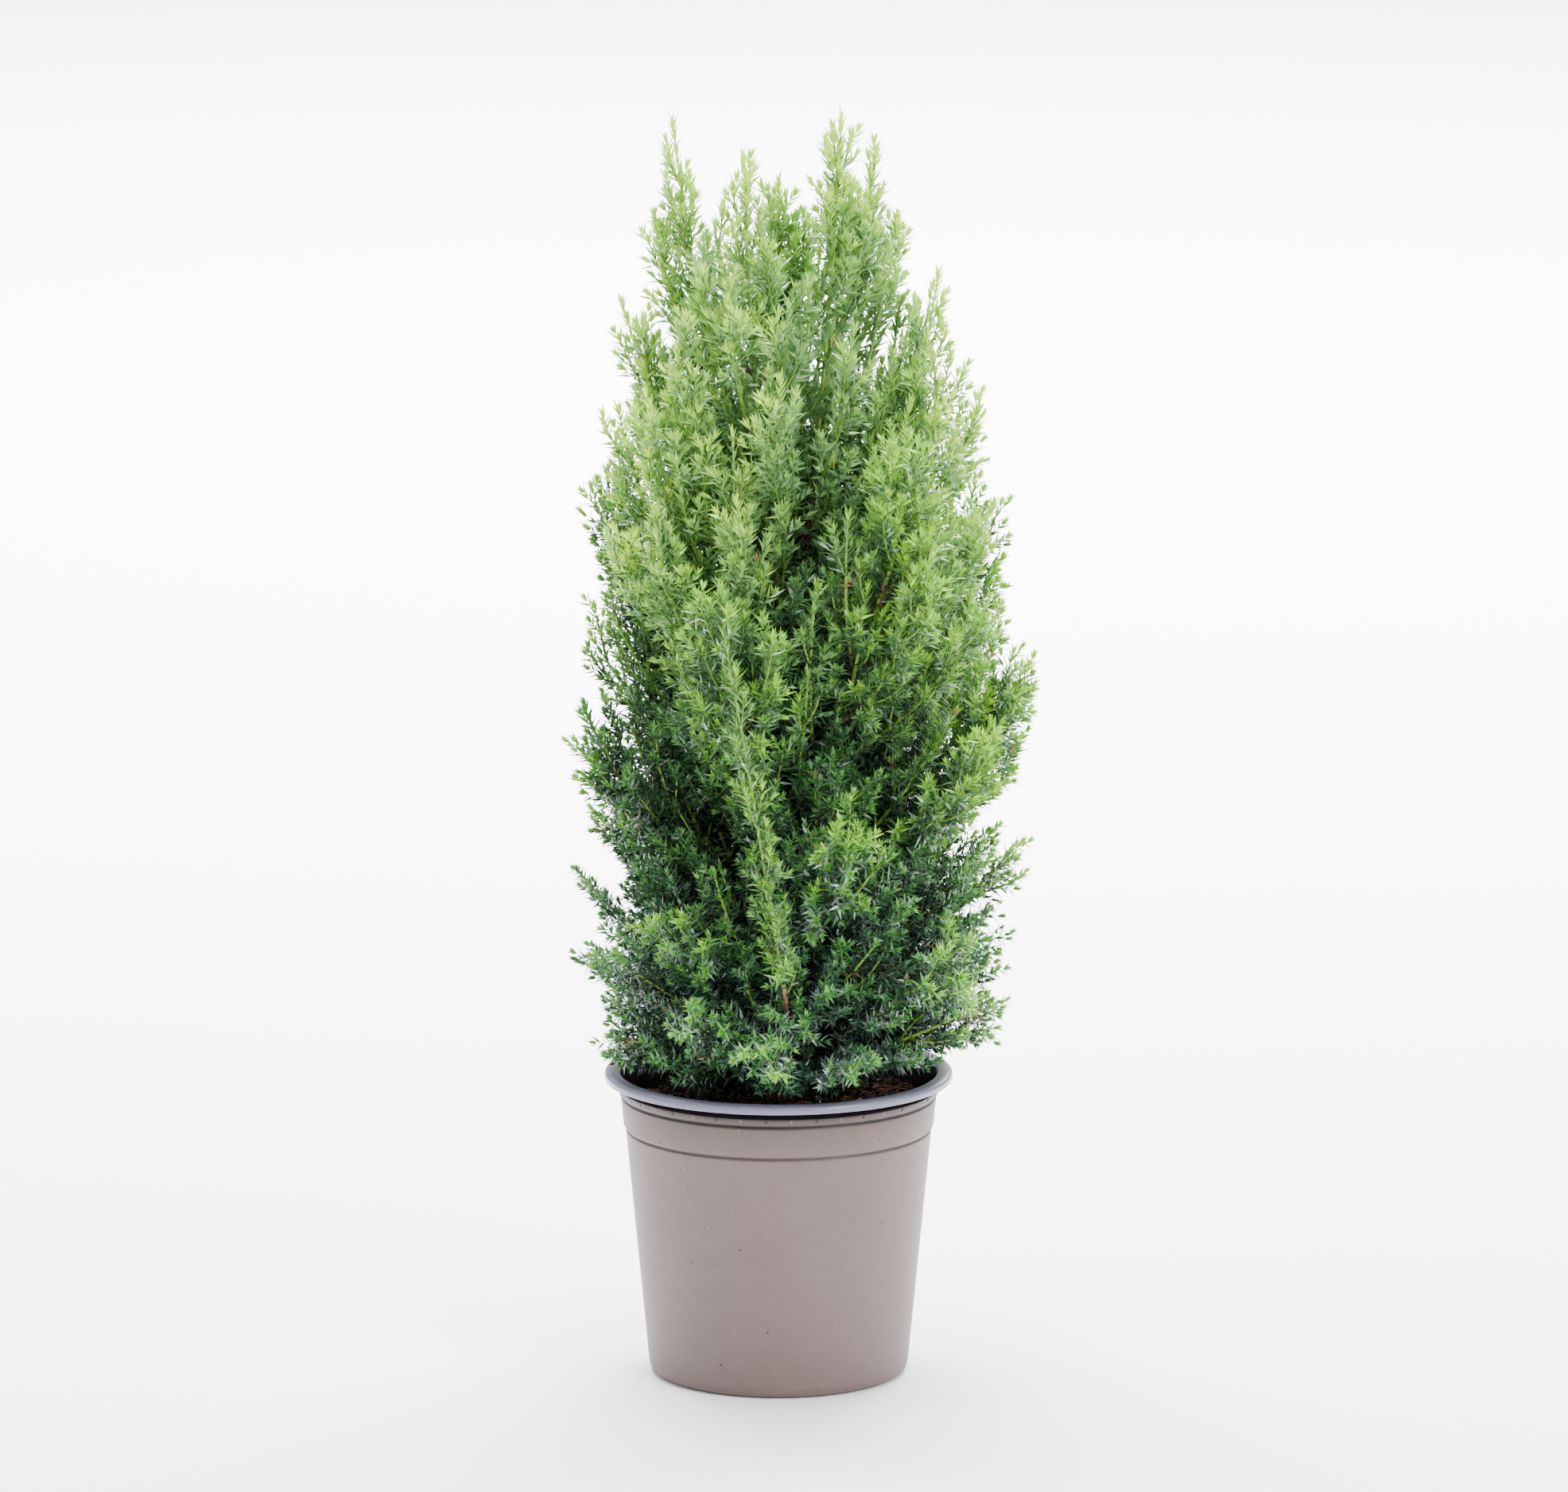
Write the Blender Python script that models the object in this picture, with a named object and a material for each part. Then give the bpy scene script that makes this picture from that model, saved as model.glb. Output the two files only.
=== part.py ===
"""A young Lawson cypress in a round plastic nursery pot, at its real size in metres.

The trunk stands on the potting soil and runs up through the crown to the foot of its top leader. Boughs leave
it one after another by the golden angle, lean out and turn up, and the upper ones are leaders too. Each ends in
a plume: a stem in a core of dense inner foliage, with twigs that carry toothed sprays of needles standing out of
it. A plume keeps to the space that is nearer to its own line than to any other plume's.
"""
import math
import random

import bmesh
import bpy
import numpy as np

# The pot, as a turned profile
POT_HEIGHT = 0.115
POT_SEGMENTS = 36
BASE_RADIUS = 0.0455
FOOT_RADIUS = 0.0485
FOOT_HEIGHT = 0.0035
RIM_RADIUS = 0.065
LIP_HEIGHT = 0.003
COLLAR_RADIUS = 0.0604
COLLAR_FOOT = 0.1064
BAND_RADIUS = 0.0589
BAND_FOOT = 0.0940
WALL_TOP_RADIUS = 0.0571
STEP = 0.0008
WALL = 0.0012
FLOOR = 0.0016
FLOOR_BEND = 0.003
EDGE_ROUNDING = 0.0009
CENTRE_DISC = 0.018
DRAIN_HOLES = 6
DRAIN_HOLE_RADIUS = 0.0032
DRAIN_HOLE_SIDES = 10
DRAIN_RING_RADIUS = 0.034

# The potting soil
SOIL_TOP = 0.103
SOIL_MOUND = 0.0012
SOIL_CLEARANCE = 0.0004
SOIL_PLATE_RADIUS = 0.012
SOIL_RING_SHARES = (3.4, 2.2)
SOIL_UNEVEN = (-1.0, 0.6)

# The trunk, from its flat cut on the soil to the foot of the top leader
REST_GAP = 0.0003
TRUNK_FOOT = SOIL_TOP + REST_GAP
TRUNK_TOP = 0.286
TRUNK_FOOT_RADIUS = 0.0033
TRUNK_TOP_RADIUS = 0.0014
TRUNK_LEAN = 0.005
TRUNK_SWAY = 0.0022
TRUNK_SIDES = 10
TRUNK_RINGS = 15
ROOT_FLARE = 0.0026
ROOT_FLARE_HEIGHT = 0.008
ROOT_LOBES = 5
ROOT_LOBE_DEPTH = 0.4
ROOT_FLARE_FALL = 1.6
TRUNK_TAPER = 0.8
TRUNK_RING_CROWDING = 1.35

# The side boughs, numbered upwards, and the outline of the crown that their tips draw
SIDE_BOUGHS = 22
SEED = 19
GOLDEN_ANGLE = math.radians(137.5)
FIRST_AZIMUTH = math.radians(-7.5)
FIRST_BOUGH_HEIGHT = 0.1150
LAST_BOUGH_HEIGHT = 0.228
FIRST_TIP_HEIGHT = 0.131
LAST_TIP_HEIGHT = 0.412
CLIMB = 1.7
OUTLINE_HEIGHTS = (0.130, 0.190, 0.260, 0.300, 0.345, 0.385, 0.415)
OUTLINE_REACHES = (0.069, 0.075, 0.079, 0.077, 0.070, 0.060, 0.053)
WIDTH_HEIGHTS = (0.130, 0.240, 0.340, 0.430, 0.480)
PLUME_WIDTHS = (0.028, 0.037, 0.037, 0.028, 0.021)
FULLER_SIDE = 0.15
TIP_HEIGHT_CHANCE = 0.005
REACH_CHANCE = (0.96, 1.04)

# The leaders, as the places of their tips. The first of them carries on from the top of the trunk.
LEADER_TIPS = (
    (0.023, -0.006, 0.472),
    (-0.039, 0.010, 0.470),
    (0.034, 0.020, 0.450),
    (-0.013, -0.022, 0.461),
    (0.000, 0.036, 0.444),
)
FIRST_LEADER_HEIGHT = 0.238
LEADER_SPACING = 0.0115

# The shape of every bough
BOUGH_ROOT_RADIUS = 0.0017
BOUGH_TIP_RADIUS = 0.0010
BOUGH_SIDES = 6
BOUGH_RINGS = 4
BARE_LENGTH = 0.0090
BARE_CLEARANCE = 0.0012
BEND_OUT = 0.62
BEND_UP = 0.30
SKIRT_ARCH = 0.010
SKIRT_RISE = 0.08

# The plumes of foliage
LINE_POINTS = 60
STEM_SIDES = 3
STEM_TIP_RADIUS = 0.0004
STEM_RINGS = 6
STEM_ENDS_SHORT = 0.002
FILLED_BY = 0.14
FILLING = 0.6
TIP_TAPER = 0.78
TAPER_POWER = 2.2
CORE_SHARE = 0.52
CORE_LUMPS = 0.16
CORE_MARGIN = 0.0035
CORE_SIDES = 6
CORE_STARTS = 0.055
CORE_ENDS = 0.90
CORE_RINGS = 5
CORE_POINTS = 0.035
CORE_LEAST_RADIUS = 0.0014
CORE_TRIALS = (0.15, 1.0, 12)
LEAST_SPRAYS = 5
SPRAY_SPACING = 0.0215
FIRST_SPRAY = 0.08
LAST_SPRAY = 0.90
SPRAY_STARTS = 0.33
SPRAY_THICKNESS = 0.045
SPRAY_MIDDLE = 0.42
SPRAY_OUTLINE = ((0.0, 0.05), (0.36, 0.34), (0.46, 0.15), (0.66, 0.24), (0.75, 0.08), (1.0, 0.0))
SPRAY_ROLL = 1.3
SPRAY_TURN_CHANCE = 0.3
SPRAY_OPENING_CHANCE = (0.9, 1.1)
SPRAY_REACH_CHANCE = (1.0, 1.2)
SPRAY_PROBES = (0.45, 1.04, 7)
SPRAY_OPENING = (math.radians(60), math.radians(22))
SHORTENING = (1.0, 0.85, 0.7, 0.56)
TWIG_RADIUS = 0.00075
TWIG_TIP_RADIUS = 0.00045
TWIG_SHARE = 0.60
TIP_SPRAY = 0.020
TIP_SPRAY_SUNK = 0.013
SECOND_TIP_SPRAY = 0.8
SPACE_GAP = 0.0009
LIMB_GAP = 0.0012
SOIL_GAP = 0.0018
RIM_GAP = 0.0016
SHARED_START = 6
LIMB_SAMPLES = 90
BOUGH_SAMPLES = 14

TAUPE = (0.30, 0.25, 0.205, 1.0)
PEAT = (0.035, 0.022, 0.014, 1.0)
BARK = (0.20, 0.085, 0.04, 1.0)
GREEN = (0.075, 0.22, 0.03, 1.0)


def clear_scene():
    """Removes whatever the file opened with."""
    for item in list(bpy.data.objects):
        bpy.data.objects.remove(item)


def material(name, colour, roughness):
    made = bpy.data.materials.new(name)
    made.use_nodes = True
    shader = made.node_tree.nodes["Principled BSDF"]
    shader.inputs["Base Color"].default_value = colour
    shader.inputs["Roughness"].default_value = roughness
    shader.inputs["Metallic"].default_value = 0.0
    return made


def object_of(name, vertices, faces, finish=None):
    """A mesh object of these points and faces, with its faces pointing out."""
    mesh = bpy.data.meshes.new(name)
    mesh.from_pydata([tuple(v) for v in vertices], [], faces)
    if finish:
        mesh.materials.append(finish)
    shape = bmesh.new()
    shape.from_mesh(mesh)
    bmesh.ops.recalc_face_normals(shape, faces=shape.faces)
    shape.to_mesh(mesh)
    shape.free()
    made = bpy.data.objects.new(name, mesh)
    bpy.context.scene.collection.objects.link(made)
    return made


def hide_helper(helper):
    helper.hide_render = True
    helper.display_type = "WIRE"


def turned(name, profile, segments, finish):
    """A solid of revolution. The profile runs from near the axis, round the section, and back to the axis."""
    turn = np.arange(segments) * 2 * math.pi / segments
    vertices = [(r * math.cos(a), r * math.sin(a), z) for r, z in profile for a in turn]
    faces = []
    for ring in range(len(profile) - 1):
        for i in range(segments):
            j = (i + 1) % segments
            low, high = ring * segments, (ring + 1) * segments
            faces.append((low + i, low + j, high + j, high + i))
    last = (len(profile) - 1) * segments
    faces.append(tuple(range(segments)))
    faces.append(tuple(last + i for i in range(segments)))
    return object_of(name, vertices, faces, finish)


def wall_radius(z):
    """The pot's outer radius at height z, between the foot and the band."""
    share = (z - FOOT_HEIGHT) / (BAND_FOOT - FOOT_HEIGHT)
    return FOOT_RADIUS + (WALL_TOP_RADIUS - FOOT_RADIUS) * share


def inner_radius(z):
    """The radius of the pot's inside at height z."""
    if z < BAND_FOOT:
        return wall_radius(z) - WALL
    share = (z - BAND_FOOT) / (POT_HEIGHT - BAND_FOOT)
    return WALL_TOP_RADIUS - WALL + (COLLAR_RADIUS - WALL_TOP_RADIUS) * share


def make_pot(finish):
    """The pot: flat base, tapering wall, a step under the band, one under the collar, and the rolled lip."""
    lip_foot = POT_HEIGHT - LIP_HEIGHT
    outside = [
        (CENTRE_DISC, 0.0),
        (BASE_RADIUS, 0.0),
        (FOOT_RADIUS - EDGE_ROUNDING, FOOT_HEIGHT / 3),
        (FOOT_RADIUS, FOOT_HEIGHT),
        (WALL_TOP_RADIUS, BAND_FOOT - STEP / 2),
        (WALL_TOP_RADIUS + STEP, BAND_FOOT + STEP / 2),
        (BAND_RADIUS, COLLAR_FOOT - STEP / 2),
        (BAND_RADIUS + STEP, COLLAR_FOOT + STEP / 2),
        (COLLAR_RADIUS, lip_foot),
        (RIM_RADIUS - EDGE_ROUNDING, lip_foot),
        (RIM_RADIUS, lip_foot + EDGE_ROUNDING),
        (RIM_RADIUS, POT_HEIGHT - EDGE_ROUNDING),
        (RIM_RADIUS - EDGE_ROUNDING, POT_HEIGHT),
    ]
    inside = [
        (inner_radius(POT_HEIGHT) + EDGE_ROUNDING, POT_HEIGHT),
        (inner_radius(lip_foot), lip_foot),
        (inner_radius(BAND_FOOT), BAND_FOOT),
        (inner_radius(FLOOR + FLOOR_BEND), FLOOR + FLOOR_BEND),
        (BASE_RADIUS, FLOOR),
        (CENTRE_DISC, FLOOR),
    ]
    pot = turned("pot", outside + inside, POT_SEGMENTS, finish)
    drill = drain_cutter()
    cut = pot.modifiers.new("drain_holes", "BOOLEAN")
    cut.object = drill
    cut.operation = "DIFFERENCE"
    cut.solver = "EXACT"
    pot.data.shade_smooth()
    pot.data.set_sharp_from_angle(angle=math.radians(25))
    return pot


def drain_cutter():
    """Six short rods that pass through the floor of the pot."""
    shape = bmesh.new()
    for i in range(DRAIN_HOLES):
        angle = 2 * math.pi * (i + 0.5) / DRAIN_HOLES
        rod = bmesh.ops.create_cone(
            shape, cap_ends=True, segments=DRAIN_HOLE_SIDES, depth=4 * FLOOR,
            radius1=DRAIN_HOLE_RADIUS, radius2=DRAIN_HOLE_RADIUS,
        )
        place = (DRAIN_RING_RADIUS * math.cos(angle), DRAIN_RING_RADIUS * math.sin(angle), FLOOR / 2)
        bmesh.ops.translate(shape, verts=rod["verts"], vec=place)
    mesh = bpy.data.meshes.new("drain_cutter")
    shape.to_mesh(mesh)
    shape.free()
    cutter = bpy.data.objects.new("drain_cutter", mesh)
    bpy.context.scene.collection.objects.link(cutter)
    hide_helper(cutter)
    return cutter


def make_soil(finish):
    """The soil fills the pot. Its top is flat under the trunk and uneven towards the wall."""
    low = FLOOR + SOIL_CLEARANCE
    chance = random.Random(SEED)
    rings = [
        (CENTRE_DISC, low),
        (BASE_RADIUS - 2 * SOIL_CLEARANCE, low),
        (inner_radius(FLOOR + FLOOR_BEND) - SOIL_CLEARANCE, low + FLOOR_BEND),
        (inner_radius(BAND_FOOT) - SOIL_CLEARANCE, BAND_FOOT),
        (inner_radius(SOIL_TOP) - SOIL_CLEARANCE, SOIL_TOP - SOIL_MOUND),
        (SOIL_RING_SHARES[0] * SOIL_PLATE_RADIUS, SOIL_TOP),
        (SOIL_RING_SHARES[1] * SOIL_PLATE_RADIUS, SOIL_TOP),
        (SOIL_PLATE_RADIUS, SOIL_TOP),
    ]
    soil = turned("potting_soil", rings, POT_SEGMENTS, finish)
    for vertex in soil.data.vertices:
        spread = math.hypot(vertex.co.x, vertex.co.y)
        if vertex.co.z > SOIL_TOP - 2 * SOIL_MOUND and spread > 1.5 * SOIL_PLATE_RADIUS:
            vertex.co.z += SOIL_MOUND * chance.uniform(*SOIL_UNEVEN)
    return soil


def trunk_at(z):
    """The point of the trunk's centre line at height z: a slight lean with one slow sway."""
    share = (z - TRUNK_FOOT) / (TRUNK_TOP - TRUNK_FOOT)
    ease = share * share * (3 - 2 * share)
    return np.array([
        TRUNK_LEAN * ease + TRUNK_SWAY * math.sin(2 * math.pi * share) * share,
        TRUNK_SWAY * math.sin(1.3 * math.pi * share) * share,
        z,
    ])


def trunk_radius(z):
    share = (z - TRUNK_FOOT) / (TRUNK_TOP - TRUNK_FOOT)
    return TRUNK_FOOT_RADIUS + (TRUNK_TOP_RADIUS - TRUNK_FOOT_RADIUS) * share ** TRUNK_TAPER


def frames_along(line):
    """For each point of a line, its heading and two unit vectors across it, which turn as little as they can."""
    tangents = np.gradient(line, axis=0)
    tangents /= np.linalg.norm(tangents, axis=1)[:, None]
    seed = np.array([1.0, 0.0, 0.0]) if abs(tangents[0][0]) < 0.9 else np.array([0.0, 1.0, 0.0])
    side = np.cross(tangents[0], seed)
    sides, others = [], []
    for tangent in tangents:
        side = side - tangent * side.dot(tangent)
        side = side / np.linalg.norm(side)
        sides.append(side)
        others.append(np.cross(tangent, side))
    return tangents, np.array(sides), np.array(others)


def tube(name, line, radii, sides, finish=None, level_foot=False):
    """A limb along a line. radii holds one radius for each point, or one for each point and side."""
    _, across, up = frames_along(line)
    if level_foot:
        across[0], up[0] = np.array([1.0, 0.0, 0.0]), np.array([0.0, 1.0, 0.0])
    turn = np.arange(sides) * 2 * math.pi / sides
    radii = np.broadcast_to(np.asarray(radii, float).reshape(len(line), -1), (len(line), sides))
    ring = np.cos(turn)[None, :, None] * across[:, None] + np.sin(turn)[None, :, None] * up[:, None]
    vertices = (line[:, None] + radii[..., None] * ring).reshape(-1, 3)
    faces = []
    for k in range(len(line) - 1):
        for i in range(sides):
            j = (i + 1) % sides
            faces.append((k * sides + i, k * sides + j, (k + 1) * sides + j, (k + 1) * sides + i))
    last = (len(line) - 1) * sides
    faces.append(tuple(range(sides)))
    faces.append(tuple(last + i for i in range(sides)))
    return object_of(name, vertices, faces, finish)


def trunk_shape(name, finish, grown=0.0):
    """The trunk with its root flare. grown makes it thicker all over, for cutting the boughs clear of it."""
    share = np.linspace(0, 1, TRUNK_RINGS) ** TRUNK_RING_CROWDING
    heights = TRUNK_FOOT + (TRUNK_TOP - TRUNK_FOOT) * share
    line = np.array([trunk_at(z) for z in heights])
    lobes = 1 + ROOT_LOBE_DEPTH * np.cos(ROOT_LOBES * np.arange(TRUNK_SIDES) * 2 * math.pi / TRUNK_SIDES)
    flare = ROOT_FLARE * np.exp(-(heights - TRUNK_FOOT) / ROOT_FLARE_HEIGHT * ROOT_FLARE_FALL)
    radii = np.array([trunk_radius(z) for z in heights])[:, None] + flare[:, None] * lobes + grown
    return tube(name, line, radii, TRUNK_SIDES, finish, level_foot=True)


def bough_tips():
    """The height on the trunk where each bough starts and the place of its tip, the lowest bough first."""
    chance = random.Random(SEED)
    tips = []
    for number in range(SIDE_BOUGHS):
        share = number / (SIDE_BOUGHS - 1)
        azimuth = FIRST_AZIMUTH + GOLDEN_ANGLE * number
        root_height = FIRST_BOUGH_HEIGHT + (LAST_BOUGH_HEIGHT - FIRST_BOUGH_HEIGHT) * share
        height = FIRST_TIP_HEIGHT + (LAST_TIP_HEIGHT - FIRST_TIP_HEIGHT) * share ** CLIMB
        height += chance.uniform(-TIP_HEIGHT_CHANCE, TIP_HEIGHT_CHANCE)
        reach = float(np.interp(height, OUTLINE_HEIGHTS, OUTLINE_REACHES))
        reach *= (1 + FULLER_SIDE * math.cos(azimuth)) * chance.uniform(*REACH_CHANCE)
        tips.append((root_height, (reach * math.cos(azimuth), reach * math.sin(azimuth), height)))
    for order, tip in enumerate(reversed(LEADER_TIPS[1:])):
        tips.append((FIRST_LEADER_HEIGHT + LEADER_SPACING * order, tip))
    tips.append((TRUNK_TOP, LEADER_TIPS[0]))
    return tips


def plume_plan():
    """The line, width and bare part of each bough and its plume."""
    plans = []
    for number, (root_height, tip) in enumerate(bough_tips(), start=1):
        root = trunk_at(root_height)
        run = np.array(tip) - root
        arch = SKIRT_ARCH * max(0.0, 1 - run[2] / SKIRT_RISE)
        bend = root + run * (BEND_OUT, BEND_OUT, BEND_UP) + np.array([0.0, 0.0, arch])
        share = np.linspace(0, 1, LINE_POINTS)[:, None]
        line = (1 - share) ** 2 * root + 2 * share * (1 - share) * bend + share ** 2 * np.array(tip)
        steps = np.linalg.norm(np.diff(line, axis=0), axis=1)
        along = np.concatenate([[0.0], np.cumsum(steps)])
        plans.append({
            "number": number,
            "line": line,
            "width": float(np.interp(tip[2], WIDTH_HEIGHTS, PLUME_WIDTHS)),
            "bare": 0.0 if root_height == TRUNK_TOP else bare_part(line, along),
            "length": along[-1],
            "along": along,
        })
    return plans


def bare_part(line, along):
    """How far along its line a bough is bare: a little way out, and at least until it is clear of the trunk."""
    beside = np.array([np.linalg.norm(point - trunk_at(point[2])) for point in line]) - trunk_radius(TRUNK_FOOT)
    return max(BARE_LENGTH, along[np.argmax(beside > BARE_CLEARANCE)])


def point_on(plan, distance):
    """The point of a plan's line at a distance from the trunk's centre line."""
    return np.array([np.interp(distance, plan["along"], plan["line"][:, k]) for k in range(3)])


def stretch(plan, start, end, count):
    return np.array([point_on(plan, d) for d in np.linspace(start, end, count)])


def nearest(points, samples):
    """For each point, its distance to the nearest sample and that sample's index."""
    gaps = np.linalg.norm(points[:, None] - samples[None], axis=2)
    return gaps.min(axis=1), gaps.argmin(axis=1)


def limbs_of(plans):
    """Sample points down the middle of the trunk and of every bough, with the limb's radius at each."""
    heights = np.linspace(TRUNK_FOOT, TRUNK_TOP, LIMB_SAMPLES)
    points = [np.array([trunk_at(z) for z in heights])]
    radii = [np.array([trunk_radius(z) for z in heights])]
    for plan in plans:
        if plan["bare"]:
            points.append(stretch(plan, 0.0, plan["bare"], BOUGH_SAMPLES))
            radii.append(np.linspace(BOUGH_ROOT_RADIUS, BOUGH_TIP_RADIUS, BOUGH_SAMPLES))
    return np.concatenate(points), np.concatenate(radii)


def in_own_space(points, own, plans, limbs):
    """Whether each point is in the plume's own space, clear of every limb, of the soil and of the pot.

    The lines all start inside the trunk, so the other lines are taken from a few points further on.
    """
    mine, _ = nearest(points, own["line"])
    others = np.concatenate([p["line"][SHARED_START:] for p in plans if p is not own])
    theirs, _ = nearest(points, others)
    to_limb, which = nearest(points, limbs[0])
    spread = np.linalg.norm(points[:, :2], axis=1)
    over_soil = spread < WALL_TOP_RADIUS - 2 * RIM_GAP
    floor = np.where(over_soil, SOIL_TOP + SOIL_GAP, POT_HEIGHT + RIM_GAP)
    clear_limb = to_limb - limbs[1][which] > LIMB_GAP
    return (mine + SPACE_GAP < theirs) & clear_limb & (points[:, 2] > floor)


def plume_profile(share):
    """The plume's width along its stem, as a share of its greatest: soon full, then tapering to the tip."""
    filled = np.minimum(1.0, (share + 0.02) / FILLED_BY) ** FILLING
    return filled * (1 - TIP_TAPER * share ** TAPER_POWER)


def plume_core(plan, plans, limbs):
    """The dense inner foliage: a spindle round the stem, drawn in where it would leave the plume's space."""
    chance = random.Random(SEED - plan["number"])
    start = plan["bare"]
    length = plan["length"] - start
    shares = np.linspace(CORE_STARTS, CORE_ENDS, CORE_RINGS)
    ends = (CORE_STARTS - CORE_POINTS, CORE_ENDS + CORE_POINTS)
    line = np.array([point_on(plan, start + length * s) for s in (ends[0], *shares, ends[1])])
    _, across, up = frames_along(line)
    turn = np.arange(CORE_SIDES) * 2 * math.pi / CORE_SIDES
    vertices = []
    for k, share in enumerate(shares, start=1):
        ring = np.cos(turn)[:, None] * across[k] + np.sin(turn)[:, None] * up[k]
        lumps = [chance.uniform(1 - CORE_LUMPS, 1 + CORE_LUMPS) for _ in range(CORE_SIDES)]
        wanted = plan["width"] * CORE_SHARE * plume_profile(share) * np.array(lumps)
        radii = np.full(CORE_SIDES, CORE_LEAST_RADIUS)
        for part in np.linspace(*CORE_TRIALS):
            trial = np.maximum(wanted * part, CORE_LEAST_RADIUS)
            fits = in_own_space(line[k] + ring * (trial + CORE_MARGIN)[:, None], plan, plans, limbs)
            radii = np.where(fits, trial, radii)
        vertices.extend(line[k] + ring * radii[:, None])
    faces = []
    for k in range(CORE_RINGS - 1):
        for i in range(CORE_SIDES):
            j = (i + 1) % CORE_SIDES
            low, high = k * CORE_SIDES, (k + 1) * CORE_SIDES
            faces.append((low + i, low + j, high + j, high + i))
    foot, head = len(vertices), len(vertices) + 1
    last = (CORE_RINGS - 1) * CORE_SIDES
    for i in range(CORE_SIDES):
        j = (i + 1) % CORE_SIDES
        faces.append((foot, j, i))
        faces.append((head, last + i, last + j))
    vertices.extend((line[0], line[-1]))
    return vertices, faces


def spray_blade(root, along, across, length):
    """A toothed blade of needles: its outline drawn both ways from its midrib, which is raised on both faces."""
    outline = list(SPRAY_OUTLINE) + [(u, -v) for u, v in reversed(SPRAY_OUTLINE[:-1])]
    rim = [root + along * u * length + across * v * length for u, v in outline]
    middle = root + along * SPRAY_MIDDLE * length
    raised = np.cross(along, across) * SPRAY_THICKNESS * length / 2
    count = len(outline)
    faces = []
    for i in range(count):
        j = (i + 1) % count
        faces.append((i, j, count))
        faces.append((j, i, count + 1))
    return np.array([*rim, middle + raised, middle - raised]), faces


def twig_and_spray(root, along, across, length):
    """A three-sided twig from the stem, and the blade that it carries."""
    twig_line = np.array([root, root + along * length * TWIG_SHARE])
    turn = np.arange(3) * 2 * math.pi / 3
    ring = np.cos(turn)[:, None] * across + np.sin(turn)[:, None] * np.cross(along, across)
    twig = np.concatenate([twig_line[0] + ring * TWIG_RADIUS, twig_line[1] + ring * TWIG_TIP_RADIUS])
    twig_faces = [(0, 1, 2), (3, 4, 5), (0, 1, 4, 3), (1, 2, 5, 4), (2, 0, 3, 5)]
    foot = root + along * length * SPRAY_STARTS
    return [(twig, twig_faces), spray_blade(foot, along, across, length * (1 - SPRAY_STARTS))]


def plume_sprays(plan, plans, limbs):
    """The twigs and sprays of one plume, by the golden angle up its stem, as long as its space allows."""
    chance = random.Random(SEED + plan["number"])
    start = plan["bare"]
    length = plan["length"] - start
    shapes = []
    shares = np.linspace(FIRST_SPRAY, LAST_SPRAY, max(LEAST_SPRAYS, round(length / SPRAY_SPACING)))
    line = np.array([point_on(plan, start + length * s) for s in shares])
    tangents, across, up = frames_along(line)
    for k, share in enumerate(shares):
        turn = GOLDEN_ANGLE * k + chance.uniform(-SPRAY_TURN_CHANCE, SPRAY_TURN_CHANCE)
        outward = across[k] * math.cos(turn) + up[k] * math.sin(turn)
        opening = np.interp(share, (0, 1), SPRAY_OPENING) * chance.uniform(*SPRAY_OPENING_CHANCE)
        along = tangents[k] * math.cos(opening) + outward * math.sin(opening)
        flat = np.cross(tangents[k], outward)
        roll = chance.uniform(-SPRAY_ROLL, SPRAY_ROLL)
        side = flat * math.cos(roll) + np.cross(along, flat) * math.sin(roll)
        reach = plan["width"] * plume_profile(share) / math.sin(opening)
        reach *= chance.uniform(*SPRAY_REACH_CHANCE)
        for shorter in SHORTENING:
            pair = twig_and_spray(line[k], along, side, reach * shorter)
            probes = [line[k] + along * reach * shorter * u for u in np.linspace(*SPRAY_PROBES)]
            if in_own_space(np.array([*probes, *pair[1][0][1:-3]]), plan, plans, limbs).all():
                shapes.extend(pair)
                break
    end = plan["line"][-1]
    along = tangents[-1]
    for turn, size in ((0.0, TIP_SPRAY), (math.pi / 2, SECOND_TIP_SPRAY * TIP_SPRAY)):
        side = across[-1] * math.cos(turn) + up[-1] * math.sin(turn)
        shapes.append(spray_blade(end - along * TIP_SPRAY_SUNK, along, side, size))
    return shapes


def fuse(name, first, others, finish):
    """Joins a plume's shapes by one Boolean union on a collection, and keeps the outer body that it leaves."""
    group = bpy.data.collections.new(name + "_shapes")
    for item in others:
        bpy.context.scene.collection.objects.unlink(item)
        group.objects.link(item)
    union = first.modifiers.new("union", "BOOLEAN")
    union.operand_type = "COLLECTION"
    union.collection = group
    union.operation = "UNION"
    union.solver = "EXACT"
    graph = bpy.context.evaluated_depsgraph_get()
    shape = bmesh.new()
    shape.from_mesh(first.evaluated_get(graph).to_mesh())
    first.modifiers.remove(union)
    keep_outer_body(shape)
    bmesh.ops.triangulate(shape, faces=shape.faces)
    shape.to_mesh(first.data)
    shape.free()
    for item in others:
        bpy.data.objects.remove(item)
    bpy.data.collections.remove(group)
    first.data.materials.clear()
    first.data.materials.append(finish)
    first.name = name
    return first


def keep_outer_body(shape):
    """Deletes loose scraps and the walls of sealed hollows, which leaves the largest body, solid."""
    left = set(shape.faces)
    bodies = []
    while left:
        queue = [left.pop()]
        body = set(queue)
        while queue:
            for edge in queue.pop().edges:
                for face in edge.link_faces:
                    if face in left:
                        left.discard(face)
                        body.add(face)
                        queue.append(face)
        box = np.array([v.co for f in body for v in f.verts])
        bodies.append((float(np.prod(box.max(axis=0) - box.min(axis=0))), body))
    bodies.sort(key=lambda entry: entry[0])
    scraps = [face for _, body in bodies[:-1] for face in body]
    bmesh.ops.delete(shape, geom=scraps, context="FACES")


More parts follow.
